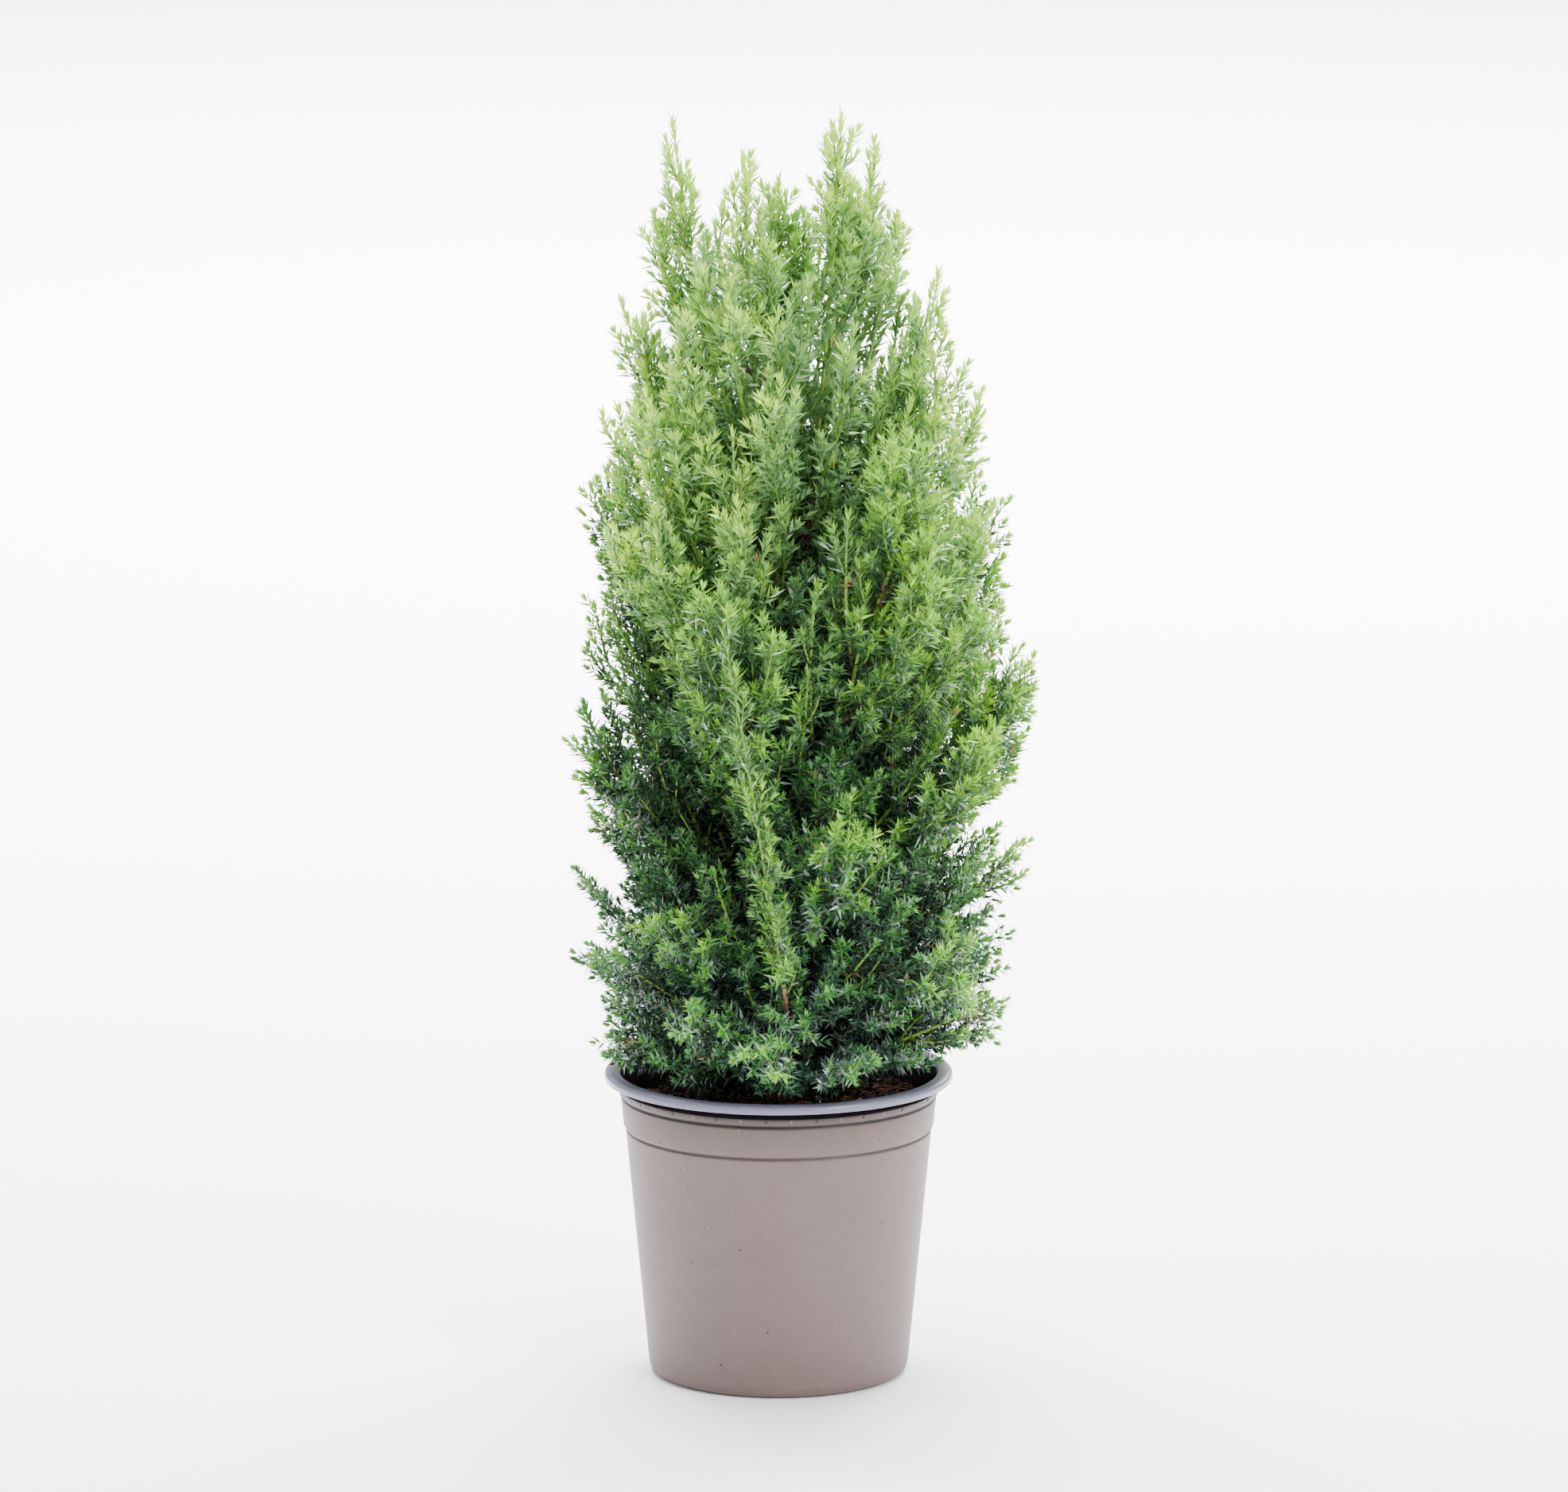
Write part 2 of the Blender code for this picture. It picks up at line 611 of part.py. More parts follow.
def make_bough(plan, cutter, finish):
    """One tapering limb, from the trunk's bark to the foot of its plume."""
    line = stretch(plan, 0.0, plan["bare"], BOUGH_RINGS)
    radii = np.linspace(BOUGH_ROOT_RADIUS, BOUGH_TIP_RADIUS, BOUGH_RINGS)
    bough = tube("bough_%02d" % plan["number"], line, radii, BOUGH_SIDES, finish)
    cut = bough.modifiers.new("clear_of_trunk", "BOOLEAN")
    cut.object = cutter
    cut.operation = "DIFFERENCE"
    cut.solver = "EXACT"
    return bough


def make_plume(plan, plans, limbs, finish):
    """One plume: its stem, its core, and its twigs with their sprays, fused."""
    stem_line = stretch(plan, plan["bare"] + REST_GAP, plan["length"] - STEM_ENDS_SHORT, STEM_RINGS)
    foot_radius = BOUGH_TIP_RADIUS if plan["bare"] else TRUNK_TOP_RADIUS
    stem_radii = np.linspace(foot_radius, STEM_TIP_RADIUS, STEM_RINGS)
    stem = tube("stem", stem_line, stem_radii, STEM_SIDES)
    core = object_of("core", *plume_core(plan, plans, limbs))
    sprays = [object_of("spray", *shape) for shape in plume_sprays(plan, plans, limbs)]
    return fuse("foliage_%02d" % plan["number"], stem, [core, *sprays], finish)


def build():
    clear_scene()
    make_pot(material("pot_plastic", TAUPE, 0.5))
    make_soil(material("soil", PEAT, 0.95))
    bark = material("bark", BARK, 0.85)
    trunk_shape("trunk", bark)
    cutter = trunk_shape("trunk_clearance", bark, grown=REST_GAP)
    hide_helper(cutter)
    green = material("foliage", GREEN, 0.6)
    plans = plume_plan()
    limbs = limbs_of(plans)
    for plan in plans:
        if plan["bare"]:
            make_bough(plan, cutter, bark)
        make_plume(plan, plans, limbs, green)


build()
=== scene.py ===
"""A young Lawson cypress in its nursery pot: finished surfaces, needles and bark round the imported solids."""
import math
import random

import bpy
import numpy as np
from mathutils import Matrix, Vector


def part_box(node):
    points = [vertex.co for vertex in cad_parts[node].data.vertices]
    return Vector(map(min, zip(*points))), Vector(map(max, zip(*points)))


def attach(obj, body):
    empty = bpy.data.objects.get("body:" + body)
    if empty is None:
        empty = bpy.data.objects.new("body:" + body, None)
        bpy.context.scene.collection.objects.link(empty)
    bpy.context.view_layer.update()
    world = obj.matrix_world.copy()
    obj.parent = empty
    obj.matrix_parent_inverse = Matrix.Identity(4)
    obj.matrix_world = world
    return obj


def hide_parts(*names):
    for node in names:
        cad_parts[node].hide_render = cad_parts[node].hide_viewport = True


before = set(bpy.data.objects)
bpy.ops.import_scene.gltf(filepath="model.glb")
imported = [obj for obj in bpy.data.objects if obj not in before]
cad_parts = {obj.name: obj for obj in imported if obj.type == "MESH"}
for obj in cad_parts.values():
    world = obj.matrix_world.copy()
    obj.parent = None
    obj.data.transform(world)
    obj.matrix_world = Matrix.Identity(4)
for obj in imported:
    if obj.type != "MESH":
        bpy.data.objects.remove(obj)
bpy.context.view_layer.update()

# The studio. The floor is one wide sheet of white paper. A large soft lamp stands at the upper right in
# front, a weaker one at the left, one overhead and a wide one over the paper behind, under a white sky. The
# camera looks at the middle of the plant from a little above it.
FLOOR_REACH = 30.0
PLANT_MIDDLE = (0.002, 0.0, 0.2375)
CAMERA_DISTANCE = 3.7
CAMERA_RAISED = math.radians(10.7)
LENS = 229.0
LAMPS = (
    ("window_right", (2.1, -2.2, 1.9), 1.5, 125.0, (1.0, 0.99, 0.97)),
    ("window_left", (-2.2, -2.0, 1.5), 1.3, 16.0, (0.97, 0.985, 1.0)),
    ("window_behind", (1.0, 2.6, 1.7), 1.4, 60.0, (1.0, 1.0, 1.0)),
    ("ceiling", (0.0, -0.3, 2.8), 1.2, 90.0, (1.0, 1.0, 1.0)),
)
BACKDROP_LAMP = ((0.0, 2.6, 3.0), 4.2, 620.0)
SKY_COLOUR = (0.97, 0.985, 1.0, 1.0)
SKY_STRENGTH = 1.05


def screen_colour(red, green, blue):
    """A colour read as three screen values from 0 to 255, turned into linear light: v / 12.92 in the
    darkest part and ((v + 0.055) / 1.055) ** 2.4 above it."""
    value = np.array([red, green, blue]) / 255
    linear = np.where(value <= 0.04045, value / 12.92, ((value + 0.055) / 1.055) ** 2.4)
    return (*linear.tolist(), 1.0)


def feed(node, inputs):
    """Gives each named input of a node its value, or a link from the socket that feeds it."""
    for name, value in inputs.items():
        if isinstance(value, bpy.types.NodeSocket):
            node.id_data.links.new(value, node.inputs[name])
        else:
            node.inputs[name].default_value = value


def add_node(tree, kind, inputs, **settings):
    """Adds a shader node of this kind, sets it up and feeds it. Returns its outputs."""
    made = tree.nodes.new("ShaderNode" + kind)
    for name, value in settings.items():
        setattr(made, name, value)
    feed(made, inputs)
    return made.outputs


def painted(name, colour, roughness):
    """A material of one Principled shader with this colour and roughness. Returns it with its shader."""
    made = bpy.data.materials.new(name)
    made.use_nodes = True
    shader = made.node_tree.nodes["Principled BSDF"]
    feed(shader, {"Base Color": colour, "Roughness": roughness})
    return made, shader


def mesh_piece(name, points, *blocks, smooth=True):
    """An object at the origin. points is n by 3, and each block holds faces with the same number of
    corners."""
    mesh = bpy.data.meshes.new(name)
    corners = np.concatenate([block.ravel() for block in blocks]).astype(np.int32)
    sides = np.concatenate([np.full(len(block), block.shape[1]) for block in blocks])
    starts = np.concatenate([[0], np.cumsum(sides)[:-1]]).astype(np.int32)
    mesh.vertices.add(len(points))
    mesh.vertices.foreach_set("co", points.astype(np.float32).ravel())
    mesh.loops.add(len(corners))
    mesh.loops.foreach_set("vertex_index", corners)
    mesh.polygons.add(len(sides))
    mesh.polygons.foreach_set("loop_start", starts)
    mesh.polygons.foreach_set("use_smooth", np.full(len(sides), smooth))
    mesh.update(calc_edges=True)
    made = bpy.data.objects.new(name, mesh)
    bpy.context.scene.collection.objects.link(made)
    return made


def aimed(place, target):
    """The turn that points a lamp or a camera at place towards target."""
    return (Vector(target) - Vector(place)).to_track_quat("-Z", "Y").to_euler()


corners = np.array([(-1, -1, 0), (1, -1, 0), (1, 1, 0), (-1, 1, 0)]) * FLOOR_REACH
floor = mesh_piece("studio_floor", corners, np.array([[0, 1, 2, 3]]))
paper, shader = painted("floor_paper", screen_colour(250, 250, 253), 0.85)
place = add_node(shader.id_data, "TexCoord", {})["Object"]
grain = add_node(shader.id_data, "TexNoise", {"Vector": place, "Scale": 2.0})["Fac"]
shade = add_node(shader.id_data, "MapRange", {"Value": grain, "To Min": 0.82, "To Max": 0.88})["Result"]
feed(shader, {"Roughness": shade})
floor.data.materials.append(paper)


def hang_lamp(name, spot, target, width, watts, colour):
    """A round soft lamp of this width at spot, aimed at target."""
    lamp = bpy.data.lights.new(name, "AREA")
    lamp.shape = "DISK"
    lamp.size = width
    lamp.energy = watts
    lamp.color = colour
    holder = bpy.data.objects.new(name, lamp)
    holder.location = spot
    holder.rotation_euler = aimed(spot, target)
    bpy.context.scene.collection.objects.link(holder)
    return lamp


for name, spot, width, watts, colour in LAMPS:
    hang_lamp(name, spot, PLANT_MIDDLE, width, watts, colour)
spot, width, watts = BACKDROP_LAMP
backdrop_lamp = hang_lamp("backdrop_lamp", spot, (spot[0], spot[1], 0.0), width, watts, (1.0, 1.0, 1.0))
backdrop_lamp.spread = math.radians(100)

sky = bpy.data.worlds.new("white_sky")
sky.use_nodes = True
feed(sky.node_tree.nodes["Background"], {"Color": SKY_COLOUR, "Strength": SKY_STRENGTH})
bpy.context.scene.world = sky

camera = bpy.data.objects.new("camera", bpy.data.cameras.new("camera"))
camera.data.lens = LENS
camera.data.clip_end = 100.0
camera.location = (
    PLANT_MIDDLE[0],
    -CAMERA_DISTANCE * math.cos(CAMERA_RAISED),
    PLANT_MIDDLE[2] + CAMERA_DISTANCE * math.sin(CAMERA_RAISED),
)
camera.rotation_euler = aimed(camera.location, PLANT_MIDDLE)
bpy.context.scene.collection.objects.link(camera)
bpy.context.scene.camera = camera

# The pot. It is drawn from one sheet of plastic, taupe outside and near black inside, with a step under the
# band, one under the collar, short ticks round the collar, and a rolled lip that is hollow underneath. Six
# drain holes are punched in the floor.
POT_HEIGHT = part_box("pot")[1].z
RIM_RADIUS = 0.065
LIP_SKIRT = 0.0032
LIP_THICK = 0.0009
LIP_ROUND = 0.0026
LIP_INNER_ROUND = 0.0020
BASE_RADIUS = 0.0455
FOOT_RADIUS = 0.0485
FOOT_HEIGHT = 0.0035
WALL_TOP_RADIUS = 0.0571
BAND_FOOT = 0.0940
BAND_RADIUS = 0.0589
COLLAR_FOOT = 0.1064
COLLAR_RADIUS = 0.0604
STEP = 0.0008
GROOVE = 0.0005
WALL = 0.0012
FLOOR_TOP = 0.0016
FLOOR_BEND = 0.003
CENTRE_RISE = 0.0009
CENTRE_RADIUS = 0.018
TICKS = 40
TICK_DEPTH = 0.0004
TICK_WIDTH = 0.036
# Painted shade: the collar and the band darken from just under the lip downwards, and the grooves and the sunk
# ticks more, where shade falls. Painted highlight: the raised ticks are made paler.
TICK_SHADE = 0.8
TICK_HIGHLIGHT = 0.35
GROOVE_SHADE = 0.7
GROOVE_SPREAD = 0.0007
SHADE_HEIGHTS = (0.0935, 0.0955, 0.1045, 0.1068, 0.1077, 0.1083, 0.1089)
SHADES = (0.0, 0.08, 0.32, 0.42, 0.50, 0.64, 1.0)
TICK_COLUMNS = (0.0, 0.16, 0.32, 0.42, 0.475, 0.5, 0.525, 0.58, 0.68, 0.84)
DRAIN_HOLES = 6
DRAIN_HOLE_RADIUS = 0.0032
DRAIN_RING_RADIUS = 0.034
SPECK_SIZE = 0.05
HAIR = 1e-6
TAUPE = screen_colour(98, 83, 80)
TAUPE_DARK = screen_colour(14, 12, 12)
TAUPE_PALE = screen_colour(150, 140, 134)
LIP_GREY = screen_colour(98, 98, 117)
INSIDE_GREY = screen_colour(44, 44, 50)


def rounded(corners, steps=5):
    """A profile through corners (r, z, fillet). A corner C with a fillet is cut back by it at A and B on
    its two sides, and the curve (1 - s)^2 A + 2 s (1 - s) C + s^2 B joins the cuts."""
    corners = np.array(corners)
    spots = corners[:, :2]
    share = np.linspace(0, 1, steps)[:, None]
    runs = [spots[:1]]
    for before, here, after, fillet in zip(spots[:-2], spots[1:-1], spots[2:], corners[1:-1, 2]):
        back, on = before - here, after - here
        start = here + back * min(0.48, fillet / np.linalg.norm(back))
        end = here + on * min(0.48, fillet / np.linalg.norm(on))
        curve = (1 - share) ** 2 * start + 2 * share * (1 - share) * here + share ** 2 * end
        runs.append(curve if fillet else here[None])
    return np.concatenate([*runs, spots[-1:]])


def supported(profile, margin=0.0004, step=0.006):
    """The same profile with points added on its long straight runs, close to each end and then evenly, so
    that the shading stays flat there."""
    runs = []
    for here, after in zip(profile[:-1], profile[1:]):
        length = np.linalg.norm(after - here)
        marks = [0.0]
        if length > 4 * margin:
            marks += list(np.linspace(margin / length, 1 - margin / length, 2 + int(length / step)))
        runs.append(here + (after - here) * np.array(marks)[:, None])
    return np.concatenate([*runs, profile[-1:]])


def ring_faces(rows, columns):
    """The four-cornered faces of a grid of rows by columns points whose columns close round."""
    low = np.arange(rows - 1)[:, None] * columns
    here = np.arange(columns)[None]
    beside = (here + 1) % columns
    faces = (low + here, low + beside, low + columns + beside, low + columns + here)
    return np.stack(faces, axis=-1).reshape(-1, 4)


def fan_faces(ring, pole):
    """Triangles from a pole to each step of a closed ring of points."""
    return np.stack([np.full(len(ring), pole), ring, np.roll(ring, -1)], axis=-1)


def turned_piece(name, profile, angles, sunk):
    """A closed turned solid: point (i, j) = ((r_i - sunk_ij) cos a_j, (r_i - sunk_ij) sin a_j, z_i). The
    first and the last point of the profile lie on the axis and are one pole each."""
    radius = profile[1:-1, 0][:, None] - sunk
    height = np.broadcast_to(profile[1:-1, 1][:, None], radius.shape)
    points = np.stack([radius * np.cos(angles), radius * np.sin(angles), height], axis=-1).reshape(-1, 3)
    rows, columns = radius.shape
    poles = [(0, 0, profile[0, 1]), (0, 0, profile[-1, 1])]
    first, last = np.arange(columns), np.arange(columns) + (rows - 1) * columns
    low_fan = fan_faces(first[::-1], rows * columns)
    high_fan = fan_faces(last, rows * columns + 1)
    return mesh_piece(name, np.concatenate([points, poles]), ring_faces(rows, columns), low_fan, high_fan)


def point_values(piece, name, values):
    """Keeps one number for each point of a mesh, which its material reads by name."""
    kept = piece.data.attributes.new(name, "FLOAT", "POINT")
    kept.data.foreach_set("value", values.astype(np.float32))


def wall_radius(z):
    """The outer radius of the pot's wall at height z, between its foot and its band."""
    return FOOT_RADIUS + (WALL_TOP_RADIUS - FOOT_RADIUS) * (z - FOOT_HEIGHT) / (BAND_FOOT - FOOT_HEIGHT)


def inner_radius(z):
    """The radius of the pot's inside at height z."""
    widening = (COLLAR_RADIUS - WALL_TOP_RADIUS) * (z - BAND_FOOT) / (POT_HEIGHT - BAND_FOOT)
    return np.where(z < BAND_FOOT, wall_radius(z), WALL_TOP_RADIUS + widening) - WALL


def pot_profile():
    """The section of the pot, as the outside, the lip and the inside, each a run of (r, z) points."""
    lip_foot = POT_HEIGHT - LIP_SKIRT
    lip_under = POT_HEIGHT - LIP_THICK
    outside = rounded([
        (0.0, CENTRE_RISE, 0),
        (CENTRE_RADIUS, CENTRE_RISE, 0.0006),
        (CENTRE_RADIUS + CENTRE_RISE, 0.0, 0.0006),
        (BASE_RADIUS, 0.0, 0.0012),
        (FOOT_RADIUS - 0.0009, FOOT_HEIGHT / 3, 0.0009),
        (FOOT_RADIUS, FOOT_HEIGHT, 0.0008),
        (WALL_TOP_RADIUS, BAND_FOOT - 2 * STEP, 0.0002),
        (WALL_TOP_RADIUS - GROOVE, BAND_FOOT - STEP, 0.0002),
        (WALL_TOP_RADIUS + STEP, BAND_FOOT + STEP / 2, 0.0004),
        (BAND_RADIUS, COLLAR_FOOT - 2 * STEP, 0.0002),
        (BAND_RADIUS - GROOVE, COLLAR_FOOT - STEP, 0.0002),
        (BAND_RADIUS + STEP, COLLAR_FOOT + STEP / 2, 0.0004),
        *((float(np.interp(z, (COLLAR_FOOT, lip_under), (BAND_RADIUS + STEP, COLLAR_RADIUS))), z, 0)
          for z in SHADE_HEIGHTS[-3:]),
        (COLLAR_RADIUS, lip_under, 0),
    ])
    lip = rounded([
        (COLLAR_RADIUS, lip_under, 0),
        (RIM_RADIUS - LIP_THICK, lip_under, 0.0006),
        (RIM_RADIUS - LIP_THICK, lip_foot, 0.0003),
        (RIM_RADIUS, lip_foot, 0.0004),
        (RIM_RADIUS, POT_HEIGHT, LIP_ROUND),
        (float(inner_radius(POT_HEIGHT)), POT_HEIGHT, LIP_INNER_ROUND),
        (float(inner_radius(lip_foot)), lip_foot, 0),
    ])
    inside = rounded([
        (float(inner_radius(lip_foot)), lip_foot, 0),
        (float(inner_radius(BAND_FOOT)), BAND_FOOT, 0.001),
        (float(inner_radius(FLOOR_TOP + FLOOR_BEND)), FLOOR_TOP + FLOOR_BEND, 0.001),
        (BASE_RADIUS, FLOOR_TOP, 0.001),
        (0.0, FLOOR_TOP, 0),
    ])
    return [supported(part) for part in (outside, lip, inside)]


def tick_depths(profile, angles):
    """How far each point is sunk for the ticks: a narrow peak in the middle of each period, turned out on
    every second one, only on the rows of the collar."""
    period = angles * TICKS / (2 * math.pi)
    across = np.abs(period % 1 - 0.5)
    peak = np.clip(1 - across / TICK_WIDTH, 0, 1) * np.where(period.astype(int) % 2, 1.0, -0.6)
    height = profile[1:-1, 1][:, None]
    radius = profile[1:-1, 0][:, None]
    on_collar = (height > COLLAR_FOOT + STEP) & (height < POT_HEIGHT - LIP_THICK) & (radius > BAND_RADIUS)
    return TICK_DEPTH * peak[None] * (on_collar & (radius < COLLAR_RADIUS + 0.0002))


def punch_holes(pot):
    """Cuts the six drain holes through the floor, and keeps the mesh that is left."""
    turns = (np.arange(DRAIN_HOLES) + 0.5) * 2 * math.pi / DRAIN_HOLES
    round_turn = np.arange(32) * 2 * math.pi / 32
    circle = np.stack([np.cos(round_turn), np.sin(round_turn)], axis=-1) * DRAIN_HOLE_RADIUS
    middles = np.stack([np.cos(turns), np.sin(turns)], axis=-1) * DRAIN_RING_RADIUS
    flat = middles[:, None, None] + circle[None, None]
    flat = np.broadcast_to(flat, (DRAIN_HOLES, 2, 32, 2))
    height = np.broadcast_to(np.array([-0.002, 0.006])[None, :, None, None], (DRAIN_HOLES, 2, 32, 1))
    points = np.concatenate([flat, height], axis=-1).reshape(-1, 3)
    shift = (np.arange(DRAIN_HOLES) * 64)[:, None, None]
    walls = (ring_faces(2, 32)[None] + shift).reshape(-1, 4)
    caps = (np.stack([np.arange(32)[::-1], np.arange(32, 64)])[None] + shift).reshape(-1, 32)
    punch = mesh_piece("punch", points, walls, caps)
    cut = pot.modifiers.new("drain_holes", "BOOLEAN")
    cut.object = punch
    cut.operation = "DIFFERENCE"
    cut.solver = "EXACT"
    graph = bpy.context.evaluated_depsgraph_get()
    left = bpy.data.meshes.new_from_object(pot.evaluated_get(graph))
    pot.modifiers.clear()
    pot.data = left
    bpy.data.objects.remove(punch)


def new_group(name, inputs, outputs):
    """A node group with these named sockets. Returns it with its input sockets and its output node."""
    group = bpy.data.node_groups.new(name, "ShaderNodeTree")
    for way, sockets in (("INPUT", inputs), ("OUTPUT", outputs)):
        for socket, kind in sockets.items():
            group.interface.new_socket(socket, in_out=way, socket_type="NodeSocket" + kind)
    return group, group.nodes.new("NodeGroupInput").outputs, group.nodes.new("NodeGroupOutput")


def rising(tree, value, start, full):
    """A mask that goes in a straight line from 0 where the value is at start to 1 where it is at full."""
    return add_node(tree, "MapRange", {"Value": value, "From Min": start, "From Max": full})["Result"]


def uneven_tone():
    """A node group: cloudy noise at two scales multiplies the colour by 1 + Strength (wide + fine - 1).
    Half of wide + fine is the mask."""
    inputs = {"Place": "Vector", "Tint": "Color", "Scale": "Float", "Strength": "Float"}
    group, given, leave = new_group("uneven_tone", inputs, {"Colour": "Color", "Mask": "Float"})

    def worked(first, second, operation, third=0.5):
        """The result of a Math node on two or three numbers."""
        return add_node(group, "Math", {0: first, 1: second, 2: third}, operation=operation)["Value"]

    finer = worked(given["Scale"], 6.3, "MULTIPLY")
    place = given["Place"]
    wide = add_node(group, "TexNoise", {"Vector": place, "Scale": given["Scale"], "Detail": 3.0})["Fac"]
    fine = add_node(group, "TexNoise", {"Vector": place, "Scale": finer, "Detail": 4.0})["Fac"]
    both = worked(wide, fine, "ADD")
    spread = worked(worked(both, 1.0, "SUBTRACT"), given["Strength"], "MULTIPLY_ADD", 1.0)
    scaled = add_node(group, "VectorMath", {0: given["Tint"], "Scale": spread}, operation="SCALE")["Vector"]
    feed(leave, {"Colour": scaled, "Mask": worked(both, 0.5, "MULTIPLY")})
    return group


def fine_relief():
    """A node group: noise of this scale read as a height of this depth in metres, put out as a normal."""
    inputs = {"Place": "Vector", "Scale": "Float", "Depth": "Float"}
    group, given, leave = new_group("fine_relief", inputs, {"Normal": "Vector"})
    rough = {"Vector": given["Place"], "Scale": given["Scale"], "Detail": 4.0}
    height = add_node(group, "TexNoise", rough)["Fac"]
    bump = {"Height": height, "Strength": 1.0, "Distance": given["Depth"]}
    feed(leave, {"Normal": add_node(group, "Bump", bump)["Normal"]})
    return group


def small_specks():
    """A node group: a mask of small round specks, each round the middle of a cell of a random cell
    pattern."""
    inputs = {"Place": "Vector", "Scale": "Float"}
    group, given, leave = new_group("small_specks", inputs, {"Mask": "Float"})
    cell = add_node(group, "TexVoronoi", {"Vector": given["Place"], "Scale": given["Scale"]})["Distance"]
    feed(leave, {"Mask": rising(group, cell, SPECK_SIZE, SPECK_SIZE * 0.6)})
    return group


UNEVEN_TONE = uneven_tone()
FINE_RELIEF = fine_relief()
SMALL_SPECKS = small_specks()


def finished(name, colour, roughness, tone, relief, stretch=(1.0, 1.0, 1.0)):
    """A painted material with uneven tone, given as (scale, strength), and fine relief, given as (scale,
    depth). stretch squeezes both along the axes. Returns it with its shader."""
    made, shader = painted(name, colour, roughness)
    tree = shader.id_data
    place = add_node(tree, "TexCoord", {})["Object"]
    place = add_node(tree, "Mapping", {"Vector": place, "Scale": stretch}, name="place")["Vector"]
    toned = {"Place": place, "Tint": colour, "Scale": tone[0], "Strength": tone[1]}
    colour = add_node(tree, "Group", toned, node_tree=UNEVEN_TONE, name="tone")["Colour"]
    rough = {"Place": place, "Scale": relief[0], "Depth": relief[1]}
    normal = add_node(tree, "Group", rough, node_tree=FINE_RELIEF)["Normal"]
    feed(shader, {"Base Color": colour, "Normal": normal})
    return made, shader


def laid_over(shader, mask, colour):
    """Lays a colour over what feeds a shader's colour, as far as the mask says."""
    under = shader.inputs["Base Color"].links[0].from_socket
    mixed = add_node(shader.id_data, "Mix", {"Factor": mask, "A": under, "B": colour}, data_type="RGBA")
    feed(shader, {"Base Color": mixed["Result"]})


def specks_on(shader, scale):
    """The mask of small specks at this scale, at the mapped place of a finished material."""
    place = shader.id_data.nodes["place"].outputs["Vector"]
    return add_node(shader.id_data, "Group", {"Place": place, "Scale": scale}, node_tree=SMALL_SPECKS)["Mask"]


def value_of(shader, name):
    """The number that the mesh keeps at each point under this name."""
    return add_node(shader.id_data, "Attribute", {}, attribute_name=name)["Fac"]


def pot_materials():
    """The outside: matt taupe with cloudy tone, painted shade under the lip, in the grooves and in the sunk
    ticks, a painted highlight on the raised ticks, and a few dark and pale specks. The lip: the same sheet
    rolled over, paler, smoother and bluish. The inside: near black. Under the lip: painted shade, dull and
    near black."""
    outside, shader = finished("pot_taupe", TAUPE, 0.52, (22.0, 0.16), (900.0, 0.00004))
    feed(shader, {"Specular IOR Level": 0.3})
    # Painted shade under the lip, in the grooves and in the sunk ticks.
    laid_over(shader, value_of(shader, "painted_shade"), TAUPE_DARK)
    # Painted highlight on the raised ticks.
    laid_over(shader, value_of(shader, "painted_highlight"), TAUPE_PALE)
    laid_over(shader, specks_on(shader, 95.0), screen_colour(50, 44, 40))
    laid_over(shader, specks_on(shader, 170.0), screen_colour(150, 141, 134))
    lip, shader = finished("pot_lip", LIP_GREY, 0.30, (40.0, 0.12), (700.0, 0.00003))
    laid_over(shader, specks_on(shader, 160.0), TAUPE_DARK)
    inside = finished("pot_inside", INSIDE_GREY, 0.38, (60.0, 0.3), (500.0, 0.00004))[0]
    # Painted shade: a dull, near black strip on the collar just under the lip, where the lip shades it.
    under_lip_shade, shader = finished("pot_under_lip_shade", TAUPE_DARK, 0.9, (60.0, 0.4), (700.0, 0.00004))
    feed(shader, {"Specular IOR Level": 0.0})
    return outside, lip, inside, under_lip_shade


